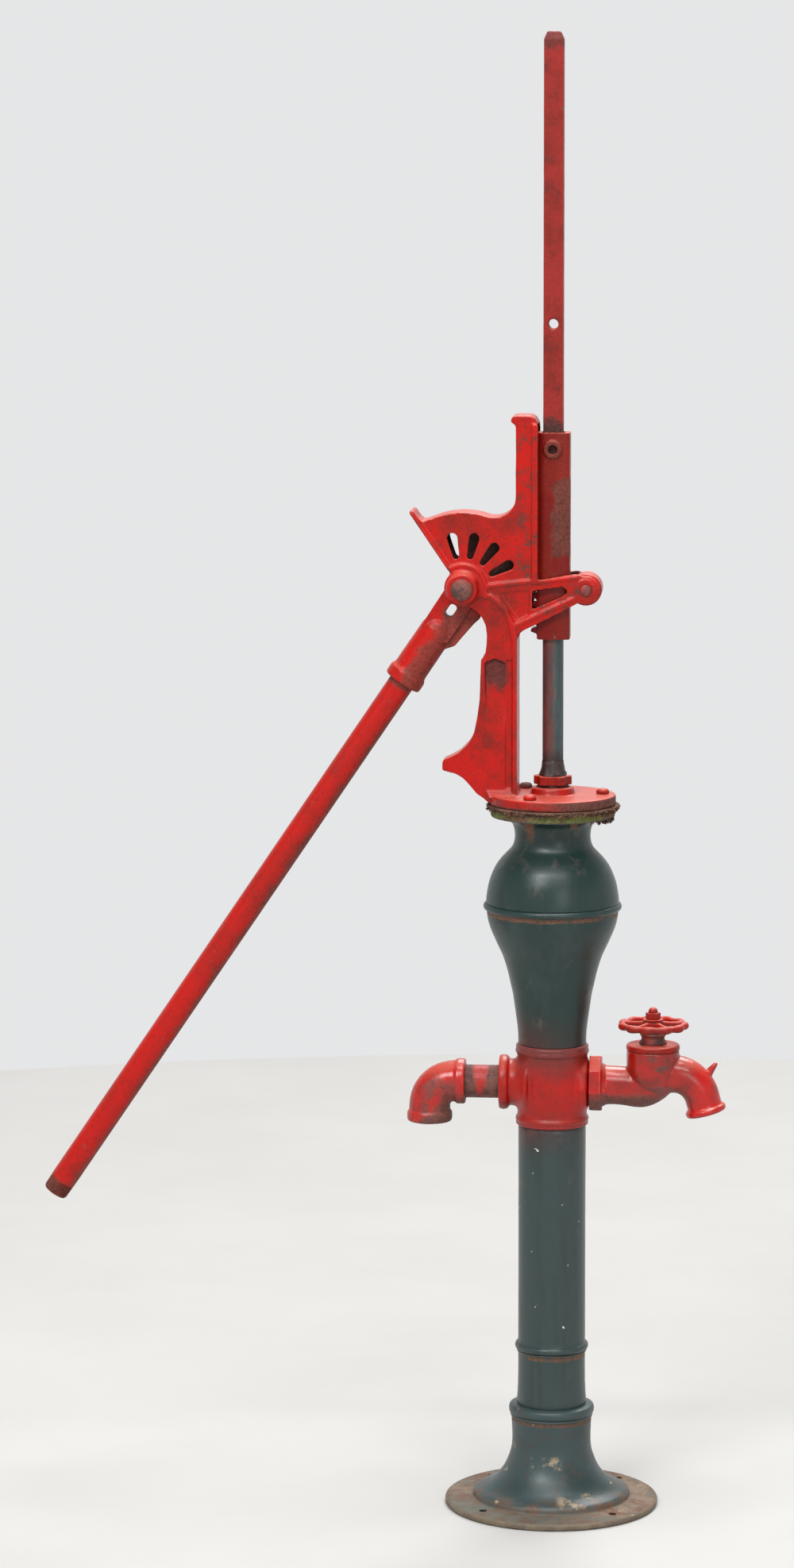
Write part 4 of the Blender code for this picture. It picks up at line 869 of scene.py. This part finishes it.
def blend_joins(body):
    """Rounds the corners where the cross's side branches meet its body."""
    joins = body.vertex_groups.new(name="joins")
    for v in body.data.vertices:
        x, z = abs(v.co.x) / MM, abs(v.co.z / MM - OUTLET)
        if 22 < x < 53 and z < 42 and v.co.xy.length > 0.040:
            joins.add([v.index], min(1.0, (x - 22) / 6, (53 - x) / 5, (42 - z) / 4), "REPLACE")
    smooth = body.modifiers.new("j", "SMOOTH")
    smooth.iterations = 70
    smooth.factor = 0.8
    smooth.vertex_group = "joins"
    apply(body)


def bearer_stand():
    return recast("bearer_stand", "stand_casting", "stand", paint_stand, "red_paint", 1.5, 5, 0.5, 0.03)


def gasket():
    """Joint ring: a lumpy disc with a torn edge."""
    random.seed(11)
    made = bmesh.new()
    steps = 240
    inner, low, edge, high = [], [], [], []
    for i in range(steps):
        a = math.tau * i / steps
        swell = 1.8 * math.sin(3 * a + 1) + 1.4 * math.sin(7 * a) + 1.2 * math.sin(11 * a + 2)
        radius = 83.2 + swell + random.uniform(-1.1, 1.1)
        droop = random.uniform(-0.9, 0.5)
        inner.append([round_point(made, 40.5, a, z) for z in (907.0, 909.7)])
        low.append(round_point(made, radius - 1.2, a, 906.9 + min(0, droop) if radius > 80 else 907.0))
        edge.append(round_point(made, radius, a, 908.2 + droop * 0.6))
        high.append(round_point(made, radius - 1.5, a, 909.7))
    for i in range(steps):
        k = (i + 1) % steps
        made.faces.new((inner[i][0], inner[k][0], low[k], low[i]))
        made.faces.new((low[i], low[k], edge[k], edge[i]))
        made.faces.new((edge[i], edge[k], high[k], high[i]))
        made.faces.new((high[i], high[k], inner[k][1], inner[i][1]))
        made.faces.new((inner[i][1], inner[k][1], inner[k][0], inner[i][0]))
    body = from_bmesh("gasket_ring", made)
    return ready(body, "stand", paint_gasket, "gasket_fibre", "cap_gasket")


def compass(angle):
    """Unit vectors outward and around, at an angle about the vertical axis."""
    c, s = math.cos(angle), math.sin(angle)
    return Vector((c, s, 0)), Vector((-s, c, 0))


def flake(made, at, along, wide, length, phase):
    """A thin torn strip that curls and narrows away from its root."""
    side = along.cross(Vector((0, 0, 1))).normalized()
    rings = []
    for part in range(4):
        t = part / 3
        centre = at + along * (length * t) + Vector((0, 0,
                -1.2 * t * t)) + side * (0.7 * math.sin(4 * t + phase))
        reach = centre.xy.length
        if reach > FRINGE_REACH:
            centre.xy = centre.xy * (FRINGE_REACH / reach)
        half = wide * (1 - 0.45 * t * t) * (0.8 + 0.45 * math.sin(9 * t + phase))
        flat = Vector((0, 0, 0.5 - 0.3 * t))
        rings.append([made.verts.new((centre + v) * MM) for v in (side * half, flat, -side * half, -flat)])
    made.faces.new(rings[0])
    made.faces.new(list(reversed(rings[-1])))
    for one, other in zip(rings, rings[1:]):
        quads(made, one, other)


def fringe():
    """Torn flakes and a few loose strands round the joint ring's edge, in uneven clumps."""
    random.seed(5)
    made = bmesh.new()
    clumps = [(random.uniform(0, math.tau), random.uniform(0.03, 0.16),
            random.uniform(0.1, 1.0)) for _ in range(40)]
    for i in range(1500):
        middle, spread, strength = random.choice(clumps)
        a = random.gauss(middle, spread)
        outward, around = compass(a)
        at = outward * random.uniform(79.5, 83.5) + Vector((0, 0, random.uniform(905.0, 909.4)))
        drop = Vector((0, 0, random.uniform(-0.9, 0.25)))
        along = (outward * random.uniform(0.1, 0.7) + around * random.uniform(-1.6, 1.6) + drop).normalized()
        thin = random.random() < 0.08
        wide = random.uniform(0.25, 0.45) if thin else random.uniform(1.2, 3.4)
        length = random.uniform(3.0, 6.0) if thin else random.uniform(1.0, 3.6) * (0.5 + strength)
        flake(made, at, along, wide, length, i)
    body = from_bmesh("gasket_fringe", made)
    return ready(body, "stand", paint_gasket, "gasket_fibre", smooth=False)


def hanging_tuft():
    """Lump of growth that hangs under the flange's right edge."""
    random.seed(21)
    made = bmesh.new()
    for i in range(260):
        a = math.radians(random.gauss(-14, 9))
        outward, around = compass(a)
        at = outward * random.uniform(68, 78) + Vector((0, 0, random.uniform(892.2, 896.5)))
        turn = around * random.uniform(-1, 1)
        swing = outward * random.uniform(-0.6, 0.6)
        drop = Vector((0, 0, random.uniform(-1.4, -0.2)))
        along = (swing + turn + drop).normalized()
        flake(made, at, along, random.uniform(1.2, 3.0), random.uniform(1.5, 4.0), i)
    body = from_bmesh("moss_tuft", made)
    return ready(body, "stand", paint_gasket, "gasket_fibre", smooth=False)


def moss_band():
    """Lumpy growth round the chamber's flange."""
    random.seed(3)
    made = bmesh.new()
    rings = []
    steps, around = 220, 12
    waves = [(random.randint(2, 40), random.uniform(0, math.tau)) for _ in range(16)]
    for i in range(steps):
        a = math.tau * i / steps
        lump = sum(math.sin(k * a + phase) for k, phase in waves) / 16
        ring = []
        for j in range(around):
            b = math.pi * (j / (around - 1) - 0.5)
            bulge = 1.5 + 2.0 * lump + 0.6 * math.sin(9 * b + 31 * a) + random.uniform(-0.35, 0.35)
            radius = 77.9 + bulge * math.cos(b) ** 0.6 if j not in (0, around - 1) else 77.2
            z = 900.3 + 5.9 * math.sin(b)
            ring.append(round_point(made, radius, a, z))
        rings.append(ring)
    for one, other in zip(rings, rings[1:] + rings[:1]):
        quads(made, one, other)
    return ready(from_bmesh("moss_band", made), "stand", moss_material(), "green_paint")


def moss_material():
    p = Paint("moss_growth")
    mid, fine = p.noise(60, 4, 0.65), p.noise(380, 4, 0.7)
    colour = p.mix(p.step(mid, 0.42, 0.58), MOSS, linear(92, 96, 50))
    colour = p.mix(p.step(p.noise(28, 4, offset=6), 0.5, 0.6), colour, linear(98, 70, 54))
    colour = p.mix(p.step(p.noise(22, 3, offset=2), 0.54, 0.60, 0.75), colour, linear(126, 50, 44))
    colour = p.mix(p.step(fine, 0.5, 0.64, 0.5), colour, DARK_RUST_AND_SHADE)
    colour = p.mix(p.step(p.sway(p.z, mid, 0.004), 0.8968, 0.8955), colour, linear(74, 72, 66))
    return p.done(colour, 0.95, p.add(mid, fine), 0.6)


def small_iron():
    """Pins, nuts and bolts: rough hammered iron."""
    pin = [(0, 62), (8, 62), (9, 61), (9, -45.8), (13.6, -45.8), (14.2, -46.6), (14.2, -48.6), (12.6, -51.6),
           (9.6, -54.2), (5.2, -56), (0, -56.4)]
    body = soften(across("fulcrum_bolt", pin, (PIVOT.x, PIVOT.z)), 0.8, 3, 0.5, 0.012)
    ready(body, "stand", paint_pin, "rusty_iron", "fulcrum_pin")
    recast("fulcrum_nut", "fulcrum_hex_nut", "stand", paint_rust, "rusty_iron", 0.8, 2, 0.3, 0.01)
    rivet = [(0, -32.4), (3.4, -32.2), (5.8, -31.4), (7.6, -29.8), (7.6, -29.3), (6, -29.3), (6, 29.3),
            (7.6, 29.3), (7.6, 29.8), (5.8, 31.4), (3.4, 32.2), (0, 32.4)]
    body = soften(across("roller_rivet", rivet, (ROLLER[0], ROLLER[2])), 0.7, 2, 0.3, 0.01)
    ready(body, "stand", paint_pin, "rusty_iron", "roller_pin")
    for number, material, slot in ((1, paint_red, "red_paint"), (2, paint_rust, "rusty_iron"),
            (3, paint_red, "red_paint")):
        recast(f"cap_bolt_{number}", f"cap_bolt_head_{number}", "stand", material, slot, 0.6, 3, 0.4, 0.008)


def gland():
    collar = [(20.7, 922), (29.5, 922), (28.4, 925.5), (27.2, 929.8), (25.6, 932), (22.5, 932.6),
            (20.7, 932.2)]
    ready(soften(turned("stuffing_box_collar", curved(collar, 1), 96), 0.9, 3, 0.4, 0.012), "stand",
          paint_stand, "red_paint")
    material = red_enamel("red_enamel_gland", None, gland_nut_foot_shade, rust=0.6, chips=0.8, dull=0.7)
    recast("gland_nut", "gland_spanner_nut", "stand", material, "red_paint", 0.8, 3, 0.9, 0.008)
    grease()
    recast("rod_packing", "packing_rings", "stand", paint_packing, "packing_fibre", 0.8, 2)


def grease():
    """Dark grease heaped round the rod on the gland nut."""
    random.seed(8)
    made = bmesh.new()
    rings = []
    steps = 72
    for radius, height in [(13.9, 947.1), (17.6, 947.1), (17.2, 949.5), (15.8, 952.5), (14.8, 956.5),
            (14.2, 961), (13.75, 965.5), (13.62, 965.6)]:
        ring = []
        for i in range(steps):
            a = math.tau * i / steps
            lump = 0.35 * math.sin(5 * a + height) + 0.25 * math.sin(11 * a) + random.uniform(-0.1, 0.1)
            reach = radius + (lump * (radius - 13.6) / 2 if radius > 13.9 else 0)
            z = height + (0.8 * math.sin(3 * a) + 0.5 * math.sin(8 * a + 1) if 950 < height else 0)
            ring.append(round_point(made, reach, a, z))
        rings.append(ring)
    for one, other in zip(rings, rings[1:] + rings[:1]):
        quads(made, one, other)
    body = from_bmesh("gland_grease", made)
    p = Paint("old_grease")
    mid, fine = p.noise(130, 4), p.noise(500, 4)
    colour = p.mix(p.step(mid, 0.45, 0.62), SOOT_AND_SHADE, linear(58, 34, 30))
    material = p.done(colour, p.add(0.3, p.times(mid, 0.4)), p.add(mid, fine), 0.6)
    ready(body, "stand", material, "rusty_iron")


# ---------------------------------------------------------------- pipework

def nipple():
    ridges = [(-52 - i, 21.1 - (0.12 if i % 2 else 0.0)) for i in range(1, 72)]
    stations = level(180, (-52, 17.5), (-52, 21.1), *ridges, (-124, 21.1), (-124, 17.5))
    return ready(swept("pipe_nipple", stations, 72), "stand", paint_nipple, "rusty_iron", "side_nipple")


def elbow():
    bend = 32
    turn_x, outlet_z = -158 + bend, OUTLET - bend
    face = -111.5
    stations = level(180, (face, 0), (face, 0), (face, 27.2), (face - 0.6, 28.6), (face - 2, 29.2),
            (face - 10.5, 29.2), (face - 12.2, 28.2), (face - 13, 27.0), (turn_x - 1.5, 26.6))
    for i in range(1, 12):
        turn = 90 * i / 12
        a = math.radians(90 + turn)
        stations.append((turn_x + bend * math.cos(a), outlet_z + bend * math.sin(a), 180 + turn, 26.3))
    down = [(0, 26.5), (-5, 26.6), (-6.4, 27.6), (-7.6, 28.8), (-9.5, 29.2), (-16, 29.2), (-18.8, 28.5),
            (-20, 26.8), (-20, 0)]
    stations += [(-158, outlet_z + z, 270, radius) for z, radius in down]
    body = swept("elbow_casting", stations, 72)
    inside = [(-158, outlet_z - 24, 90, 0), (-158, outlet_z - 24, 90, 21.4), (-158, outlet_z - 2, 90, 21.4),
            (-158, outlet_z - 1, 90, 18)]
    for i in range(1, 8):
        turn = 90 - 90 * i / 8
        a = math.radians(90 + turn)
        inside.append((turn_x + bend * math.cos(a), outlet_z + bend * math.sin(a), turn, 18))
    inside += level(0, (turn_x + 1.5, 18), (turn_x + 2, 21.4), (face + 6, 21.4), (face + 6, 0))
    boolean(body, "DIFFERENCE", swept("inside", inside, 64))
    soften(body, 1.15, 3, 0.35, 0.018)
    return ready(body, "stand", paint_elbow, "red_paint", "side_elbow")


def spout_path():
    """Stations of the spout's outside and of the water's way through it."""
    start, bend, turned_by = (155, 562.5), 39, 75
    centre = (start[0], start[1] - bend)
    outside = [(FAUCET_X + 6, start[1] - 1, 0, 0), (FAUCET_X + 6, start[1] - 1, 0, 24.5),
            (FAUCET_X + 16, start[1] - 0.5, 0, 24.6)]
    inside = [(FAUCET_X + 14, start[1] + 2, 0, 0), (FAUCET_X + 14, start[1] + 2, 0, 14)]
    for i in range(13):
        turn = turned_by * i / 12
        a = math.radians(90 - turn)
        x, z = centre[0] + bend * math.cos(a), centre[1] + bend * math.sin(a)
        outside.append((x, z, -turn, 24.4 - 1.8 * i / 12))
        inside.append((x, z, -turn, 16))
    a = math.radians(-turned_by)
    for distance, radius in ((10, 22.4), (12.6, 22.6), (14.0, 24.2), (15.2, 25.8), (17, 26.4), (19.6, 26.4),
            (21.4, 25.6), (22, 24.4), (22, 0)):
        outside.append((x + distance * math.cos(a), z + distance * math.sin(a), -turned_by, radius))
    for distance, radius in ((6, 16.4), (20, 18.5), (30, 19.5), (30, 0)):
        inside.append((x + distance * math.cos(a), z + distance * math.sin(a), -turned_by, radius))
    return outside, inside


def horn():
    """Hook on the spout that a bucket's handle hangs on."""
    stations = [(197, 556, 60, 0), (197, 556, 60, 6.5), (200.5, 563, 62, 5.6), (204, 568.5, 58, 4.6),
            (207.5, 573, 62, 3.7), (209.8, 576.2, 70, 3.0), (210.6, 577.8, 75, 1.8), (210.8, 578.2, 75, 0)]
    return swept("horn", stations, 24)


def faucet():
    """Faucet casting: flats, inlet, globe, spout, hook and a pip, hollowed for the water."""
    face = 48.2
    ring = level(0, (face, 0), (face, 36.8), (face + 0.8, 37.6), (face + 15, 37.6), (face + 15.8, 36.8),
            (face + 15.8, 0))
    collar = turn_flats(swept("collar", ring, 8))
    inlet = level(0, (32, 0), (32, 21), (face + 1, 21), (face + 1, 28))
    inlet += curved([(face + 16, 546.8, 0, 28), (face + 19.5, 546.6, 0, 26.6), (face + 22, 546.6, 0, 25.2),
            (82, 546.5, -2, 24.7), (95, 545.6, -4, 24.8), (107, 543.9, -3, 25), (117, 543.8, 8, 24.8),
            (127.5, 547.8, 25, 24), (136, 553.5, 42, 22.5), (141, 558, 45, 20)], 2)
    inlet += [(141, 558, 45, 0)]
    globe = curved([(0, 532), (0, 532), (6, 532.6), (11, 534), (17, 537), (22, 541), (26.4, 546),
            (29.7, 551.5), (32.4, 559), (33.6, 566), (33.9, 572), (33.9, 588), (33.7, 592.4), (33.0, 593),
            (33.0, 593), (0, 593), (0, 593)], 1)
    spout, water = spout_path()
    body = turned("faucet_casting", globe, 96, (FAUCET_X, 0))
    pip = across("pip", [(0, -18), (4.0, -18), (4.0, -26.0), (3.4, -27.4), (1.8, -28.2), (0, -28.4)],
            (67, 542.4), 24)
    boolean(body, "UNION", swept("inlet", inlet, 72), collar, swept("spout", spout, 72), horn(), pip)
    passage = level(0, (20, 0), (20, 17)) + [(70, 547, -2, 17), (105, 542.5, -3, 15), (118, 543.5, 8, 13),
            (127, 548, 25, 12), (127, 548, 25, 0)]
    seat = plug("seat", 11, 545, 560, 48, (FAUCET_X, 0))
    room = plug("room", 25.8, 557, 600, 64, (FAUCET_X, 0))
    boolean(body, "DIFFERENCE", swept("passage", passage, 48), seat, room, swept("water", water, 64))
    soften(body, 1.1, 3, 0.3, 0.02)
    ready(body, "stand", paint_faucet, "red_paint", "faucet_body")


def faucet_top():
    """Bonnet and the packing nut round the stem."""
    lid = [(6.4, 577), (25.4, 577), (25.4, 593.3), (33.4, 593.3), (34.4, 594.2), (34.6, 597.4), (34.0, 599.8),
           (32.6, 600.8), (20, 601.5), (6.4, 601.5)]
    ready(soften(turned("bonnet_lid", lid, 96, (FAUCET_X, 0)), 0.8, 3, 0.25, 0.012), "stand", paint_red,
          "red_paint", "faucet_bonnet")
    nut = curved([(6.4, 601.8), (6.4, 601.8), (18.4, 601.8), (18.4, 601.8), (17.6, 603.4), (15.8, 605.6),
            (14.9, 608), (15.1, 610.4), (16.6, 612.6), (17.4, 613.8), (17.0, 614.5), (17.0, 614.5),
            (6.4, 614.5)], 1)
    ready(soften(turned("stem_cone_nut", nut, 80, (FAUCET_X, 0)), 0.7, 2, 0.4, 0.01), "stand", paint_stem,
          "rusty_iron", "stem_gland_nut")


def wheel_rim():
    """Scalloped ring that swells outward at each lobe."""
    steps, around = 264, 20
    made = bmesh.new()
    rings = []
    for i in range(steps):
        a = math.tau * i / steps
        swell = 0.5 + 0.5 * math.cos(WHEEL_LOBES * a)
        swell = swell ** 0.8
        thick = 4.1 + 1.1 * swell
        middle = 38.4 + 2.4 * swell
        ring = []
        for j in range(around):
            b = math.tau * j / around
            reach = middle + thick * math.cos(b)
            ring.append(round_point(made, reach, a, thick * math.sin(b)))
        rings.append(ring)
    for one, other in zip(rings, rings[1:] + rings[:1]):
        quads(made, one, other)
    return from_bmesh("wheel_casting", made)


def wheel_spoke(number):
    path = [(7, 1.2, 0, 0), (7, 1.2, 0, 0), (7, 1.2, 0, 5), (13, 1.0, 0, 4.2), (22, 0.6, 0, 3.3),
            (32, 0.2, 0, 3.4)]
    path += [(37, 0, 0, 4.4), (39, 0, 0, 0), (39, 0, 0, 0)]
    spoke = swept("spoke", curved(path, 1), 20)
    spoke.data.transform(Matrix.Rotation(math.radians(18 + 72 * number), 4, "Z"))
    return spoke


def wheel():
    """Rim, five spokes and hub of the faucet's handwheel, with its washer, nut and stem."""
    rim = wheel_rim()
    spokes = [wheel_spoke(number) for number in range(5)]
    hub = turned("hub", [(0, -9.5), (8.4, -9.5), (9.6, -8.6), (10.8, -7), (11.4, -3), (11.4, 3.6),
            (10.4, 5.2), (9, 6), (0, 6)], 48)
    boolean(rim, "UNION", hub, *spokes)
    boolean(rim, "DIFFERENCE", plug("hole", 6.3, -20, 20, 40))
    lift = Matrix.Translation((FAUCET_X * MM, 0, WHEEL_HEIGHT * MM))
    rim.data.transform(lift)
    soften(rim, 0.85, 3, 0.3, 0.01)
    material = red_enamel("red_enamel_wheel", rust=0.8, under=0.7, chips=0.9, gloss=0.4)
    ready(rim, "handwheel", material, "red_paint", "handwheel")
    for node, name in (("wheel_washer", "washer"), ("wheel_nut", "acorn_nut")):
        rounds = 4 if node == "wheel_nut" else 2
        recast(node, name, "handwheel", material, "red_paint", 0.6, rounds, 0.3, 0.008)
    stem = [(0, -58.2), (6, -58.2)] + [(6 - 0.25 * (i % 2), 8 + i * 0.75) for i in range(15)] + [(5.4, 20.4),
            (4.0, 22.2), (2.2, 23), (0, 23)]
    body = turned("threaded_stem", stem, 40)
    body.data.transform(lift)
    ready(body, "handwheel", material, "rusty_iron", "valve_stem")


# ---------------------------------------------------------------- moving parts

def lever():
    recast("lever", "lever_casting", "lever", paint_lever, "worn_red_paint", 1.25, 4, 0.6, 0.02)
    end = HANDLE_END
    profile = [(84.3, 13.3), (84.3, 16.7)] + [(90 + 20 * i, 16.7) for i in range(43)]
    ridge = end - 19
    for i in range(12):
        profile += [(ridge + 1.5 * i, 16.5 - 0.03 * i), (ridge + 1.5 * i + 0.75, 15.5 - 0.03 * i)]
    profile += [(end - 0.6, 15.3), (end, 14.8), (end, 13.3)]
    pipe = swept("handle_tube", tilt(sorted(profile[1:-1], key=lambda s: s[0]) + [profile[-1], profile[0]]),
            64)
    ready(pipe, "lever", paint_pipe, "red_paint", "handle_pipe")


def slide():
    recast("rack_slide", "slide_casting", "slide", paint_slide, "worn_red_paint", 1.2, 3, 0.4, 0.02)


def rods():
    recast("square_bar", "square_rod", "rod", paint_bar, "worn_red_paint", 1.5, 2, 0.3, 0.02)
    profile = [(0, 370), (12, 370), (13.3, 371.5)] + [(13.35, 380 + 10 * i) for i in range(91)] + [(13.35,
            1289.7), (0, 1289.7)]
    ready(turned("round_rod", profile, 64), "rod", paint_rod, "rod_steel", "pump_rod")


def roller():
    profile = [(6.3, -21.4), (17.6, -21.4), (19.4, -20.8), (20.4, -19.4), (20.4, 19.4), (19.4, 20.8),
            (17.6, 21.4), (6.3, 21.4)]
    body = soften(across("roller_wheel", profile, (ROLLER[0], ROLLER[2]), 80), 1.0, 2, 0.3, 0.015)
    ready(body, "roller", paint_red, "worn_red_paint", "guide_roller")


def valve():
    recast("valve_disc", "disc", "valve_spindle", paint_disc, "bare_steel", 0.6, 2)
    recast("valve_washer", "seat_washer", "valve_spindle", paint_packing, "packing_fibre", 0.6, 2)


# ---------------------------------------------------------------- studio

def studio_floor():
    made = bmesh.new()
    bmesh.ops.create_circle(made, cap_ends=True, segments=160, radius=FLOOR_RADIUS)
    floor = from_bmesh("floor", made)
    p = Paint("studio_floor")
    colour = p.mix(p.step(p.noise(2.5, 4), 0.35, 0.65), (0.478, 0.472, 0.458, 1), (0.494, 0.489, 0.475, 1))
    floor.data.materials.append(p.done(colour, 0.8, p.noise(40, 3), 0.02, specular=0.2))


def studio_sky():
    """Near-white surroundings, dimmer overhead."""
    world = bpy.data.worlds.new("studio")
    bpy.context.scene.world = world
    world.use_nodes = True
    background = world.node_tree.nodes["Background"]
    background.inputs["Color"].default_value = (0.985, 0.99, 1.0, 1)
    where = world.node_tree.nodes.new("ShaderNodeTexCoord")
    split = world.node_tree.nodes.new("ShaderNodeSeparateXYZ")
    dim = world.node_tree.nodes.new("ShaderNodeMapRange")
    world.node_tree.links.new(where.outputs["Generated"], split.inputs[0])
    world.node_tree.links.new(split.outputs["Z"], dim.inputs["Value"])
    world.node_tree.links.new(dim.outputs["Result"], background.inputs["Strength"])
    for socket, value in (("From Min", 0.16), ("From Max", 0.55), ("To Min", 0.80), ("To Max", 0.32)):
        dim.inputs[socket].default_value = value


def studio_lamps():
    for name, place, wide, high, energy in LAMPS:
        light = bpy.data.lights.new(name, "AREA")
        light.shape = "RECTANGLE"
        light.energy = energy
        light.size = wide
        light.size_y = high
        lamp = placed(name, light)
        lamp.location = place
        lamp.rotation_euler = (LAMPS_AIM - lamp.location).to_track_quat("-Z", "Y").to_euler()


def studio_camera():
    camera = bpy.data.cameras.new("camera")
    camera.lens = CAMERA_LENS
    camera.sensor_width = 36
    camera.shift_y = CAMERA_SHIFT
    eye = placed("camera", camera)
    yaw, pitch = CAMERA_YAW, CAMERA_PITCH
    eye.location = CAMERA_AT
    forward = Vector((-math.sin(yaw) * math.cos(pitch), math.cos(yaw) * math.cos(pitch), -math.sin(pitch)))
    eye.rotation_euler = forward.to_track_quat("-Z", "Y").to_euler()
    bpy.context.scene.camera = eye
    bpy.context.scene.view_settings.view_transform = "Standard"


for build in (base_flange, column, air_chamber, cross_fitting, bearer_stand, gasket, fringe, hanging_tuft,
        moss_band, small_iron, gland, nipple, elbow, faucet, faucet_top, wheel, lever, slide, rods, roller,
        valve, studio_floor, studio_sky, studio_lamps, studio_camera):
    build()
